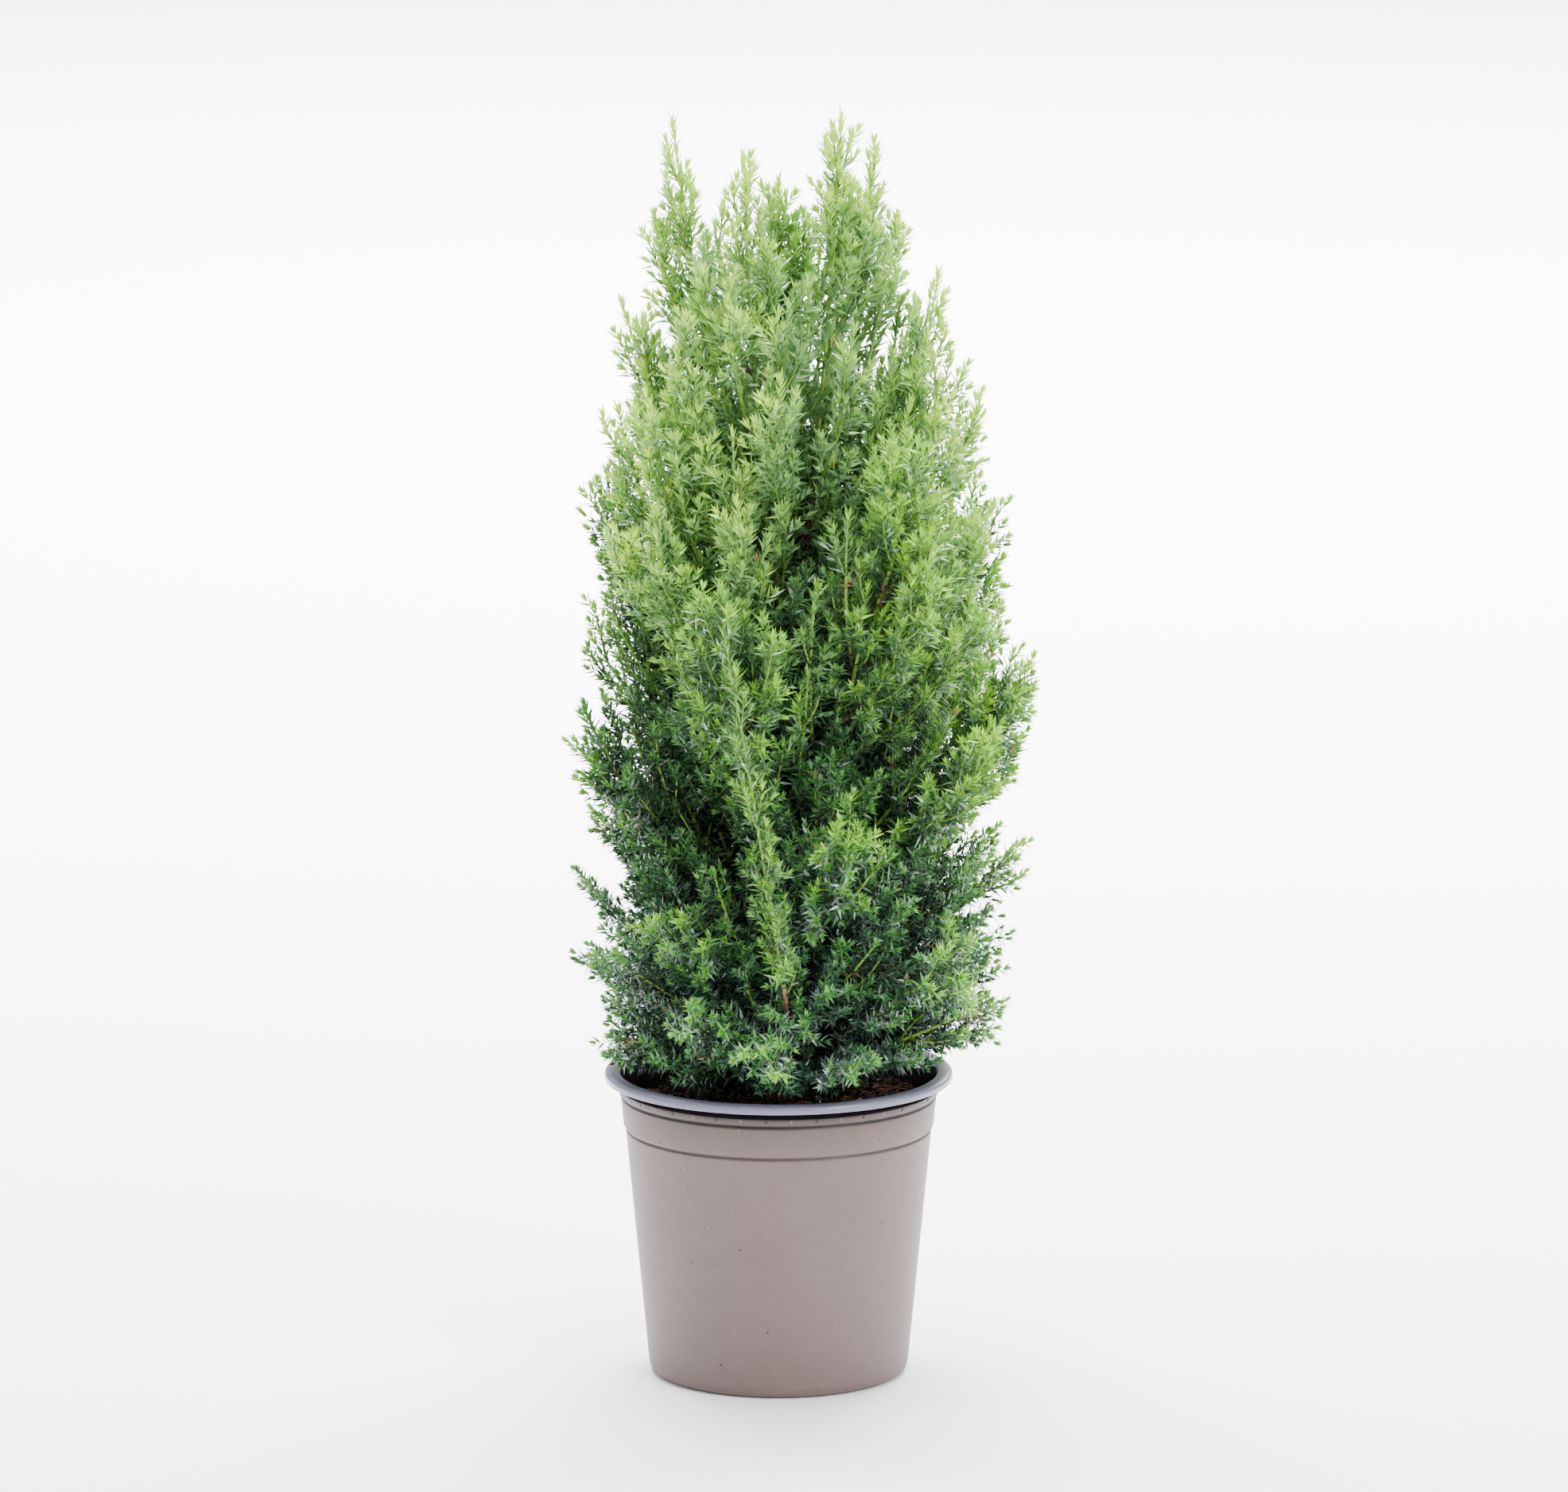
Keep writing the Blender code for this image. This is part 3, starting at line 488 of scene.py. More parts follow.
def make_pot():
    """Turns the pot, gives each run of its profile its own material, and punches the holes."""
    runs = pot_profile()
    profile = np.concatenate([runs[0], runs[1][1:], runs[2][1:]])
    period = (np.arange(TICKS)[:, None] + np.array(TICK_COLUMNS)[None]).ravel()
    angles = period * 2 * math.pi / TICKS
    sunk = tick_depths(profile, angles)
    pot = turned_piece("pot_shell", profile, angles, sunk)
    for finish in pot_materials():
        pot.data.materials.append(finish)
    ends = (len(runs[0]) - 2, len(runs[0]) + len(runs[1]) - 3)
    row = np.arange(len(profile) - 3)
    # The rows just under the lip take the painted shade.
    under_lip = profile[row + 1, 1] > SHADE_HEIGHTS[-1] - HAIR
    finish_of_row = np.where(row < ends[0], 3 * under_lip, np.where(row < ends[1], 1, 2))
    fans = np.concatenate([np.zeros(len(angles)), np.full(len(angles), 2)])
    finishes = np.concatenate([np.repeat(finish_of_row, len(angles)), fans])
    pot.data.polygons.foreach_set("material_index", finishes.astype(np.int32))
    punch_holes(pot)
    place = np.zeros(len(pot.data.vertices) * 3)
    pot.data.vertices.foreach_get("co", place)
    place = place.reshape(-1, 3)
    height = place[:, 2]
    turn = np.arctan2(place[:, 1], place[:, 0]) % (2 * math.pi)
    period = turn * TICKS / (2 * math.pi)
    across = np.abs(period % 1 - 0.5)
    on_collar = (height > COLLAR_FOOT + STEP) & (height < POT_HEIGHT - LIP_THICK)
    line = np.clip(1 - across / TICK_WIDTH, 0, 1) * on_collar
    hollow = line * (period.astype(int) % 2)
    raised = line - hollow
    # Painted shade: darkest under the lip, fading down the collar and the band, and more in the grooves and in
    # the sunk ticks.
    grooves = np.exp(-((height - BAND_FOOT + STEP) / GROOVE_SPREAD) ** 2)
    grooves += np.exp(-((height - COLLAR_FOOT + STEP) / GROOVE_SPREAD) ** 2)
    shade = np.interp(height, SHADE_HEIGHTS, SHADES)
    point_values(pot, "painted_shade", np.clip(shade + GROOVE_SHADE * grooves + TICK_SHADE * hollow, 0, 1))
    # Painted highlight on the raised ticks, left out deep in the painted shade.
    point_values(pot, "painted_highlight", TICK_HIGHLIGHT * raised * (shade < 0.7))
    return pot


pot_shell = make_pot()
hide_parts("pot")
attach(pot_shell, "root")

# The potting soil. Dark moist peat fills the pot to about a centimetre under the rim, with loose crumbs on
# it, reddish chips and fibres of bark, and a few grey lumps. It lies loose and is drawn up a little round
# the trunk.
SOIL_TOP = 0.103
SOIL_CLEARANCE = 0.0004
SOIL_SEED = 11
SOIL_WAVES = ((0.020, 0.0010), (0.008, 0.0008), (0.0035, 0.0006), (0.0016, 0.0003))
SOIL_RINGS = 110
SOIL_COLUMNS = 300
DRAWN_UP = 0.0012
DRAWN_UP_REACH = 0.008
CRUMBS = 5200
CRUMB_SIZES = (0.0005, 0.0016)
CHIPS = 420
FIBRES = 380
FIBRE_LENGTHS = (0.004, 0.013)
FIBRE_RISES = (0.0003, 0.0016)
FIBRE_RADII = (0.00012, 0.0003)
GREY_LUMPS = 46
PEAT = screen_colour(52, 38, 30)
PEAT_PALE = screen_colour(96, 70, 52)
CHIP_RED = screen_colour(122, 68, 44)
FIBRE_BROWN = screen_colour(150, 104, 70)
LUMP_GREY = screen_colour(150, 148, 144)


def wave_noise(points, length, seed, count=24):
    """Smooth noise of one wave length: the sum of count plane waves in random directions and phases,
    divided by the square root of half their number, so that it varies by about 1 either way."""
    chance = np.random.default_rng(seed)
    ways = chance.normal(size=(count, points.shape[-1]))
    ways *= 2 * math.pi / length / np.linalg.norm(ways, axis=1)[:, None]
    ways *= chance.uniform(0.75, 1.3, (count, 1))
    phases = chance.uniform(0, 2 * math.pi, count)
    return np.cos(points @ ways.T + phases).sum(axis=-1) / math.sqrt(count / 2)


def soil_height(flat):
    """The height of the soil over flat points (x, y): its level, plus each wave folded over at zero, which
    gives crumbs with creases between them, plus the rise round the trunk."""
    height = np.full(len(flat), SOIL_TOP - 0.0004)
    for number, (length, depth) in enumerate(SOIL_WAVES):
        height += depth * (0.7 - np.abs(wave_noise(flat, length, SOIL_SEED + number)))
    spread = np.linalg.norm(flat, axis=1)
    height += DRAWN_UP * np.exp(-(spread / DRAWN_UP_REACH) ** 2)
    return height


def make_soil():
    """The soil as one closed turned body: under it the pot's inside, and its top raised point by point."""
    edge = float(inner_radius(SOIL_TOP)) - SOIL_CLEARANCE
    low = FLOOR_TOP + SOIL_CLEARANCE
    under = np.array([
        (0.0, low),
        (BASE_RADIUS - 2 * SOIL_CLEARANCE, low),
        (float(inner_radius(FLOOR_TOP + FLOOR_BEND)) - SOIL_CLEARANCE, low + FLOOR_BEND),
        (float(inner_radius(BAND_FOOT)) - SOIL_CLEARANCE, BAND_FOOT),
    ])
    spreads = edge * (1 - np.arange(SOIL_RINGS) / SOIL_RINGS)
    top = np.stack([spreads, np.full(SOIL_RINGS, SOIL_TOP)], axis=-1)
    profile = np.concatenate([under, top, [(0.0, SOIL_TOP)]])
    angles = np.arange(SOIL_COLUMNS) * 2 * math.pi / SOIL_COLUMNS
    soil = turned_piece("soil_body", profile, angles, np.zeros((len(profile) - 2, SOIL_COLUMNS)))
    place = np.zeros(len(soil.data.vertices) * 3)
    soil.data.vertices.foreach_get("co", place)
    place = place.reshape(-1, 3)
    raised = place[:, 2] > SOIL_TOP - 0.0001
    place[raised, 2] = soil_height(place[raised, :2])
    soil.data.vertices.foreach_set("co", place.astype(np.float32).ravel())
    # Painted shade: the soil is darkened in the creases between its crumbs, the deeper the darker.
    crease_shade = np.clip((SOIL_TOP - 0.0008 - place[:, 2]) / 0.0016, 0, 1)
    point_values(soil, "painted_crease_shade", crease_shade)
    return soil


def scattered(count, chance, margin):
    """Random places on the soil, even over its area, with the height of the soil there."""
    edge = float(inner_radius(SOIL_TOP)) - margin
    spread = edge * np.sqrt(chance.uniform(0.006, 1, count))
    turn = chance.uniform(0, 2 * math.pi, count)
    flat = np.stack([spread * np.cos(turn), spread * np.sin(turn)], axis=-1)
    return np.concatenate([flat, soil_height(flat)[:, None]], axis=-1)


def random_turns(count, chance, tilt):
    """Three square unit vectors for each of count things: turned freely about Z and tilted by up to
    tilt."""
    turn = chance.uniform(0, 2 * math.pi, count)
    lean = chance.uniform(-tilt, tilt, count)
    along = np.stack([np.cos(turn) * np.cos(lean), np.sin(turn) * np.cos(lean), np.sin(lean)], axis=-1)
    side = np.stack([-np.sin(turn), np.cos(turn), np.zeros(count)], axis=-1)
    return along, side, np.cross(along, side)


def grains(name, count, sizes, shape, seed, margin, sunk=0.25):
    """Many small lumps: each the eight-faced solid on the points +-a, +-b, +-c of three square axes, with
    every point moved in or out at random. shape holds the shares of the size along the three axes."""
    chance = np.random.default_rng(seed)
    middle = scattered(count, chance, margin)
    axes = np.stack(random_turns(count, chance, 0.5), axis=1)
    size = sizes[0] + (sizes[1] - sizes[0]) * chance.uniform(0, 1, count) ** 2
    reach = size[:, None] * np.array(shape)[None] * chance.uniform(0.6, 1.2, (count, 3))
    middle[:, 2] += reach[:, 2] * (1 - sunk)
    six = np.concatenate([axes * reach[..., None], -axes * reach[..., None]], axis=1)
    six = six * chance.uniform(0.7, 1.25, (count, 6, 1))
    points = (middle[:, None] + six).reshape(-1, 3)
    eight = np.array([
        (0, 1, 2), (1, 3, 2), (3, 4, 2), (4, 0, 2), (1, 0, 5), (3, 1, 5), (4, 3, 5), (0, 4, 5)])
    faces = (eight[None] + 6 * np.arange(count)[:, None, None]).reshape(-1, 3)
    return mesh_piece(name, points, faces, smooth=False)


def fibres(name, count, seed):
    """Loose fibres: three-sided threads along a low arch, point(s) = foot + s reach + 4 s (1 - s) rise,
    that narrow to a point at both ends."""
    chance = np.random.default_rng(seed)
    foot = scattered(count, chance, 0.006)
    along, side, up = random_turns(count, chance, 0.12)
    reach = along * chance.uniform(*FIBRE_LENGTHS, (count, 1))
    rise = np.array([0.0, 0.0, 1.0]) * chance.uniform(*FIBRE_RISES, (count, 1))
    bow = side * chance.uniform(-0.002, 0.002, (count, 1))
    share = np.linspace(0, 1, 6)[None, :, None]
    line = foot[:, None] + (share - 0.5) * reach[:, None] + 4 * share * (1 - share) * (rise + bow)[:, None]
    line[..., 2] += 0.0004
    narrowing = np.sqrt(np.clip(share * (1 - share) * 4, 0.02, 1))
    thick = chance.uniform(*FIBRE_RADII, (count, 1, 1)) * narrowing
    turn = np.arange(3) * 2 * math.pi / 3
    ring = np.cos(turn)[:, None, None, None] * side[:, None] + np.sin(turn)[:, None, None, None] * up[:, None]
    points = (line[None] + thick[None] * ring).transpose(1, 2, 0, 3).reshape(-1, 3)
    shift = 18 * np.arange(count)[:, None, None]
    walls = (ring_faces(6, 3)[None] + shift).reshape(-1, 4)
    ends = (np.array([(2, 1, 0), (15, 16, 17)])[None] + shift).reshape(-1, 3)
    return mesh_piece(name, points, walls, ends)


def soil_material(name, colour, strength):
    """Moist crumbly peat: uneven tone and a rough grain. Returns it with its shader."""
    return finished(name, colour, 0.85, (300.0, strength), (1500.0, 0.0002))


soil_body = make_soil()
peat, shader = soil_material("moist_peat", PEAT, 0.9)
# Painted shade in the soil's creases.
laid_over(shader, value_of(shader, "painted_crease_shade"), screen_colour(16, 11, 8))
soil_body.data.materials.append(peat)
LOOSE = (
    (grains("soil_crumbs", CRUMBS, CRUMB_SIZES, (1.0, 0.8, 0.7), 21, 0.0022), PEAT, 0.9),
    (grains("soil_clods", 260, (0.0014, 0.0030), (1.0, 0.9, 0.7), 22, 0.0050), PEAT_PALE, 0.8),
    (grains("bark_chips", CHIPS, (0.0010, 0.0042), (1.0, 0.42, 0.16), 23, 0.0060), CHIP_RED, 0.7),
    (grains("grey_lumps", GREY_LUMPS, (0.0007, 0.0015), (1.0, 0.9, 0.8), 24, 0.0040), LUMP_GREY, 0.3),
    (fibres("bark_fibres", FIBRES, 25), FIBRE_BROWN, 0.6),
)
for piece, colour, strength in LOOSE:
    piece.data.materials.append(soil_material(piece.name + "_finish", colour, strength)[0])
for piece in (soil_body, *(loose[0] for loose in LOOSE)):
    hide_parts("potting_soil")
    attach(piece, "root")

# The trunk. A young stem as thick as a pencil, flared where the roots leave it, with thin reddish bark that
# splits lengthwise and peels in narrow grey-brown strips. It leans a little and stands in the soil.
TRUNK_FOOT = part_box("trunk")[0].z
TRUNK_TOP = 0.286
TRUNK_FOOT_RADIUS = 0.0033
TRUNK_TOP_RADIUS = 0.0014
TRUNK_LEAN = 0.005
TRUNK_SWAY = 0.0022
ROOT_FLARE = 0.0026
ROOT_FLARE_HEIGHT = 0.008
ROOT_LOBES = 5
ROOT_LOBE_DEPTH = 0.4
TRUNK_ROWS = 420
TRUNK_COLUMNS = 48
STRIP_DEPTH = 0.00034
BARK_RED = screen_colour(112, 74, 50)
BARK_GREY = screen_colour(138, 120, 98)
BARK_CLEFT = screen_colour(58, 30, 20)
STEM_GREEN = screen_colour(128, 168, 58)


def trunk_line(z):
    """The centre of the trunk at height z: a slight lean with one slow sway."""
    share = (np.asarray(z, float) - TRUNK_FOOT) / (TRUNK_TOP - TRUNK_FOOT)
    lean = TRUNK_LEAN * share * share * (3 - 2 * share) + TRUNK_SWAY * np.sin(2 * math.pi * share) * share
    return np.stack([lean, TRUNK_SWAY * np.sin(1.3 * math.pi * share) * share, np.asarray(z, float)], axis=-1)


def trunk_radius(z):
    """The radius of the trunk at height z, without its root flare."""
    share = np.clip((z - TRUNK_FOOT) / (TRUNK_TOP - TRUNK_FOOT), 0, 1)
    return TRUNK_FOOT_RADIUS + (TRUNK_TOP_RADIUS - TRUNK_FOOT_RADIUS) * share ** 0.8


def bark_relief(turn, along, seed):
    """The height of bark strips from 0 to 1 at an angle and a distance along a limb: noise that is six
    times longer along the limb than round it, stepped steeply at its middle, with fine threads added."""
    round_it = np.stack([np.cos(turn), np.sin(turn), np.zeros_like(turn)], axis=-1) * 0.0035
    place = round_it + np.stack([np.zeros_like(along)] * 2 + [along / 6], axis=-1)
    strips = 1 / (1 + np.exp(-5 * wave_noise(place, 0.0026, seed, 30)))
    threads = 0.5 + 0.3 * wave_noise(place, 0.0008, seed + 1, 30)
    return 0.75 * strips + 0.25 * threads


def make_trunk():
    """The trunk: point (i, j) = centre(z_i) + (radius + flare + strips) (cos a_j, sin a_j, 0)."""
    height = TRUNK_FOOT + (TRUNK_TOP - TRUNK_FOOT) * np.linspace(0, 1, TRUNK_ROWS)[:, None]
    turn = (np.arange(TRUNK_COLUMNS) * 2 * math.pi / TRUNK_COLUMNS)[None]
    height, turn = np.broadcast_arrays(height, turn)
    flare = ROOT_FLARE * np.exp(-(height - TRUNK_FOOT) / ROOT_FLARE_HEIGHT * 1.6)
    lobes = 1 + ROOT_LOBE_DEPTH * np.cos(ROOT_LOBES * turn)
    relief = bark_relief(turn, height, 31)
    radius = trunk_radius(height) + flare * lobes + STRIP_DEPTH * (relief - 0.6)
    centre = trunk_line(height)
    around = np.stack([np.cos(turn), np.sin(turn), np.zeros_like(turn)], axis=-1)
    points = (centre + radius[..., None] * around).reshape(-1, 3)
    ends = trunk_line(np.array([TRUNK_FOOT, TRUNK_TOP]))
    first, last = np.arange(TRUNK_COLUMNS), np.arange(TRUNK_COLUMNS) + (TRUNK_ROWS - 1) * TRUNK_COLUMNS
    pole = len(points)
    fans = (fan_faces(first[::-1], pole), fan_faces(last, pole + 1))
    walls = ring_faces(TRUNK_ROWS, TRUNK_COLUMNS)
    trunk = mesh_piece("trunk_bark", np.concatenate([points, ends]), walls, *fans)
    point_values(trunk, "strip", np.concatenate([relief.ravel(), [0.5, 0.5]]))
    point_values(trunk, "young", np.zeros(len(points) + 2))
    return trunk


def bark_material():
    """Bark: dark red in the clefts, red-brown on the strips, grey where they have weathered, and green and
    smooth where the limb is young."""
    made, shader = finished(
        "peeling_bark", BARK_RED, 0.72, (180.0, 0.55), (2500.0, 0.0001), (1.0, 1.0, 0.25))
    tree = shader.id_data
    laid_over(shader, rising(tree, tree.nodes["tone"].outputs["Mask"], 0.50, 0.62), BARK_GREY)
    laid_over(shader, rising(tree, value_of(shader, "strip"), 0.45, 0.1), BARK_CLEFT)
    laid_over(shader, value_of(shader, "young"), STEM_GREEN)
    return made


BARK_FINISH = bark_material()
trunk_bark = make_trunk()
trunk_bark.data.materials.append(BARK_FINISH)
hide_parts("trunk")
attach(trunk_bark, "root")

# The boughs and leaders. They leave the trunk one after another by the golden angle, lean out and turn up.
# Each is one woody limb, bark-brown at its foot and yellow-green towards its tip. The first leader carries
# on the trunk.
SIDE_BOUGHS = 22
GROWTH_SEED = 19
GOLDEN_ANGLE = math.radians(137.5)
FIRST_AZIMUTH = math.radians(-7.5)
BOUGH_HEIGHTS = (0.1150, 0.228)
TIP_HEIGHTS = (0.131, 0.412)
CLIMB = 1.7
OUTLINE_HEIGHTS = (0.130, 0.190, 0.260, 0.300, 0.345, 0.385, 0.415)
OUTLINE_REACHES = (0.069, 0.075, 0.079, 0.077, 0.070, 0.060, 0.053)
WIDTH_HEIGHTS = (0.130, 0.240, 0.340, 0.430, 0.480)
PLUME_WIDTHS = (0.028, 0.037, 0.037, 0.028, 0.021)
FULLER_SIDE = 0.15
LEADER_TIPS = (
    (0.023, -0.006, 0.472),
    (-0.039, 0.010, 0.470),
    (0.034, 0.020, 0.450),
    (-0.013, -0.022, 0.461),
    (0.000, 0.036, 0.444),
)
FIRST_LEADER_HEIGHT = 0.238
LEADER_SPACING = 0.0115
BEND_OUT = 0.62
BEND_UP = 0.30
SKIRT_ARCH = 0.010
LIMB_RADII = ((0.0, 0.0017), (0.10, 0.0012), (0.45, 0.0009), (0.85, 0.0006), (1.0, 0.00025))
LIMB_ROWS = 90
LIMB_COLUMNS = 12
LIMB_RELIEF = 0.0002
LIMB_YOUNG_FROM = 0.30


def bough_plan():
    """The foot and the tip of each bough, from the lowest to the top leader, by the rule that the solids
    follow."""
    chance = random.Random(GROWTH_SEED)
    plan = []
    for number in range(SIDE_BOUGHS):
        share = number / (SIDE_BOUGHS - 1)
        azimuth = FIRST_AZIMUTH + GOLDEN_ANGLE * number
        foot = BOUGH_HEIGHTS[0] + (BOUGH_HEIGHTS[1] - BOUGH_HEIGHTS[0]) * share
        height = TIP_HEIGHTS[0] + (TIP_HEIGHTS[1] - TIP_HEIGHTS[0]) * share ** CLIMB
        height += chance.uniform(-0.005, 0.005)
        reach = float(np.interp(height, OUTLINE_HEIGHTS, OUTLINE_REACHES))
        reach *= (1 + FULLER_SIDE * math.cos(azimuth)) * chance.uniform(0.96, 1.04)
        plan.append((foot, (reach * math.cos(azimuth), reach * math.sin(azimuth), height)))
    for order, tip in enumerate(reversed(LEADER_TIPS[1:])):
        plan.append((FIRST_LEADER_HEIGHT + LEADER_SPACING * order, tip))
    plan.append((TRUNK_TOP, LEADER_TIPS[0]))
    return plan


def unit(vectors):
    """Each vector divided by its length."""
    return vectors / np.maximum(np.linalg.norm(vectors, axis=-1, keepdims=True), 1e-12)


def shoot_set(root, bend, tip, **labels):
    """Shoots as curves, point(s) = (1 - s)^2 root + 2 s (1 - s) bend + s^2 tip. across is square to the
    plane of each curve, and size is its length, taken as (2 chord + legs) / 3."""
    across = np.cross(bend - root, tip - bend)
    straight = np.linalg.norm(across, axis=1) < 1e-8
    across[straight] = np.cross(tip - root, np.array([0.31, 0.83, 0.46]))[straight]
    legs = np.linalg.norm(bend - root, axis=1) + np.linalg.norm(tip - bend, axis=1)
    size = (2 * np.linalg.norm(tip - root, axis=1) + legs) / 3
    return {"root": root, "bend": bend, "tip": tip, "across": unit(across), "size": size, **labels}


def place_on(shoots, which, share):
    """The point of each chosen shoot at its share of the way from root to tip."""
    s = np.asarray(share)[..., None]
    root, bend, tip = (shoots[key][which] for key in ("root", "bend", "tip"))
    return (1 - s) ** 2 * root + 2 * s * (1 - s) * bend + s ** 2 * tip


def heading_on(shoots, which, share):
    """The direction of each chosen shoot there: (1 - s)(bend - root) + s (tip - bend), made one long."""
    s = np.asarray(share)[..., None]
    root, bend, tip = (shoots[key][which] for key in ("root", "bend", "tip"))
    return unit((1 - s) * (bend - root) + s * (tip - bend))


def main_limbs():
    """The limbs as shoots. Each bends at 62% of its way out and 30% of its way up, and low ones arch
    over."""
    plan = bough_plan()
    root = trunk_line(np.array([foot for foot, _ in plan]))
    tip = np.array([tip for _, tip in plan])
    run = tip - root
    arch = SKIRT_ARCH * np.maximum(0.0, 1 - run[:, 2] / 0.08)
    bend = root + run * np.array([BEND_OUT, BEND_OUT, BEND_UP])
    bend[:, 2] += arch
    width = np.interp(tip[:, 2], WIDTH_HEIGHTS, PLUME_WIDTHS)
    return shoot_set(root, bend, tip, width=width, limb=np.arange(len(plan)), young=np.zeros(len(plan)))


def limb_tubes(name, shoots, radii, rows, columns, relief_depth, young_from):
    """Tapering limbs with bark: point = place(s) + r(s) (cos a across + sin a other), r with the strips
    added, which fade out where the limb turns young. Each is closed at its foot and at its tip."""
    count = len(shoots["root"])
    which = np.arange(count)[:, None]
    share = np.broadcast_to(np.linspace(0, 1, rows)[None], (count, rows))
    line = place_on(shoots, which, share)
    ahead = heading_on(shoots, which, share)
    across = np.broadcast_to(shoots["across"][:, None], ahead.shape)
    other = np.cross(ahead, across)
    turn = np.arange(columns) * 2 * math.pi / columns
    young = np.clip((share - young_from) / 0.3, 0, 1)[..., None]
    young = np.broadcast_to(young, (count, rows, columns))
    along = (share * shoots["size"][:, None] + 0.37 * which)[..., None]
    relief = bark_relief(*np.broadcast_arrays(turn, along), 41)
    thick = np.interp(share, *zip(*radii))[..., None] + relief_depth * (relief - 0.5) * (1 - young)
    ring = np.cos(turn)[:, None] * across[:, :, None] + np.sin(turn)[:, None] * other[:, :, None]
    points = (line[:, :, None] + thick[..., None] * ring).reshape(-1, 3)
    shift = (np.arange(count) * rows * columns)[:, None, None]
    walls = (ring_faces(rows, columns)[None] + shift).reshape(-1, 4)
    ends = np.stack([np.arange(columns)[::-1], np.arange(columns) + (rows - 1) * columns])
    piece = mesh_piece(name, points, walls, (ends[None] + shift).reshape(-1, columns))
    point_values(piece, "strip", relief.ravel())
    point_values(piece, "young", young.ravel())
    return piece


limbs = main_limbs()
limbs_wood = limb_tubes(
    "boughs_and_leaders", limbs, LIMB_RADII, LIMB_ROWS, LIMB_COLUMNS, LIMB_RELIEF, LIMB_YOUNG_FROM)
limbs_wood.data.materials.append(BARK_FINISH)
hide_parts(*("bough_%02d" % number for number in range(1, len(limbs["root"]))))
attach(limbs_wood, "root")

# The shoots. Side shoots leave each limb all round by the golden angle and turn up, branchlets stand along
# them in loose flat sprays, and the longer branchlets fork once more. Their stems are thin and green, woody
# inside.
SHOOT_SEED = 5
SECOND_SPACING = 0.0040
SECOND_GAP = 0.0128
SPIRE_HEIGHTS = (0.392, 0.398, 0.440, 0.480)
SPIRE_REACHES = (0.200, 0.029, 0.0095, 0.0035)
FRONT_SHOOT = ((0.004, -0.050, 0.142), (-0.002, -0.096, 0.196), (-0.0195, -0.078, 0.292))
FRONT_LIMB = 14
YOUNG_SHARE = 0.09
YOUNG_WIDTH = 0.0070
SIDE_CLEARANCE = 0.0035
SIDE_GAPS = (0.0128, 0.0090)
SIDE_GAP_PLACES = (0.45, 0.85)
CLOSER_HEIGHTS = (0.22, 0.34, 0.38, 0.42)
CLOSER_SHARES = (0.84, 0.76, 0.84, 0.62)
SECOND_STRETCH = (0.16, 0.84)
SECOND_LEAST_PARENT = 0.055
SECOND_SIZES = (0.020, 0.110)
SECOND_OPENING = (math.radians(20), math.radians(38))
SECOND_WIDTH = 0.0128
LIMB_WIDTH_SHARE = 0.66
SECOND_RADII = ((0.0, 0.0010), (0.5, 0.0007), (1.0, 0.00025))
SECOND_ROWS = 30
SECOND_COLUMNS = 8
SECOND_RELIEF = 0.0001
SECOND_YOUNG_FROM = 0.10
CROWN_HEIGHTS = (0.115, 0.135, 0.185, 0.250, 0.300, 0.350, 0.400, 0.430, 0.480)
CROWN_RIGHT = (0.070, 0.082, 0.090, 0.098, 0.096, 0.080, 0.065, 0.050, 0.032)
CROWN_LEFT = (0.054, 0.061, 0.072, 0.074, 0.070, 0.071, 0.070, 0.064, 0.049)
DEEPER = 0.014
SIDE_SPACING = 0.0040
SIDE_STRETCH = (0.05, 0.965)
SIDE_OPENING = (math.radians(52), math.radians(22))
LONGEST_SIDE = 0.042
LOW_SHOOTS = 330
LOW_SHOOT_HEIGHTS = (0.1075, 0.262)
LOW_SHOOT_SIZES = (0.042, 0.092)
BRANCHLET_SPACING = 0.0040
BRANCHLET_STRETCH = (0.14, 0.95)
BRANCHLET_OPENING = (math.radians(46), math.radians(27))
BRANCHLET_SIZES = (0.006, 0.0200)
BRANCHLET_SHARE = 0.55
BRANCHLET_SCATTER = 0.38
TWIGLET_SPACING = 0.0056
TWIGLET_STRETCH = (0.22, 0.86)
TWIGLET_OPENING = (math.radians(42), math.radians(28))
TWIGLET_SIZES = (0.004, 0.0085)
TWIGLET_SHARE = 0.46
TWIGLET_SCATTER = 0.55
SIDE_STEM = (0.00062, 0.0003, 5, 4)
SPRIG_STEM = (0.00036, 0.00022, 1, 3)
FORKING_SIZE = 0.0125
CLEAR_OF_SOIL = 0.0012
CLEAR_OF_RIM = 0.0010
CLEAR_OF_TRUNK = 0.0006
RIM_MARGIN = 0.002
DROOP_LEVEL = 0.124
GROUND_REACHES = (0.026, 0.056)
GROUND_AT_WALL = 0.1160
TIERS = (("foot", 0, 7), ("low", 7, 13), ("middle", 13, 20), ("top", 20, 27))
SHOOT_GREEN = screen_colour(112, 150, 52)
SPRIG_GREEN = screen_colour(74, 122, 44)


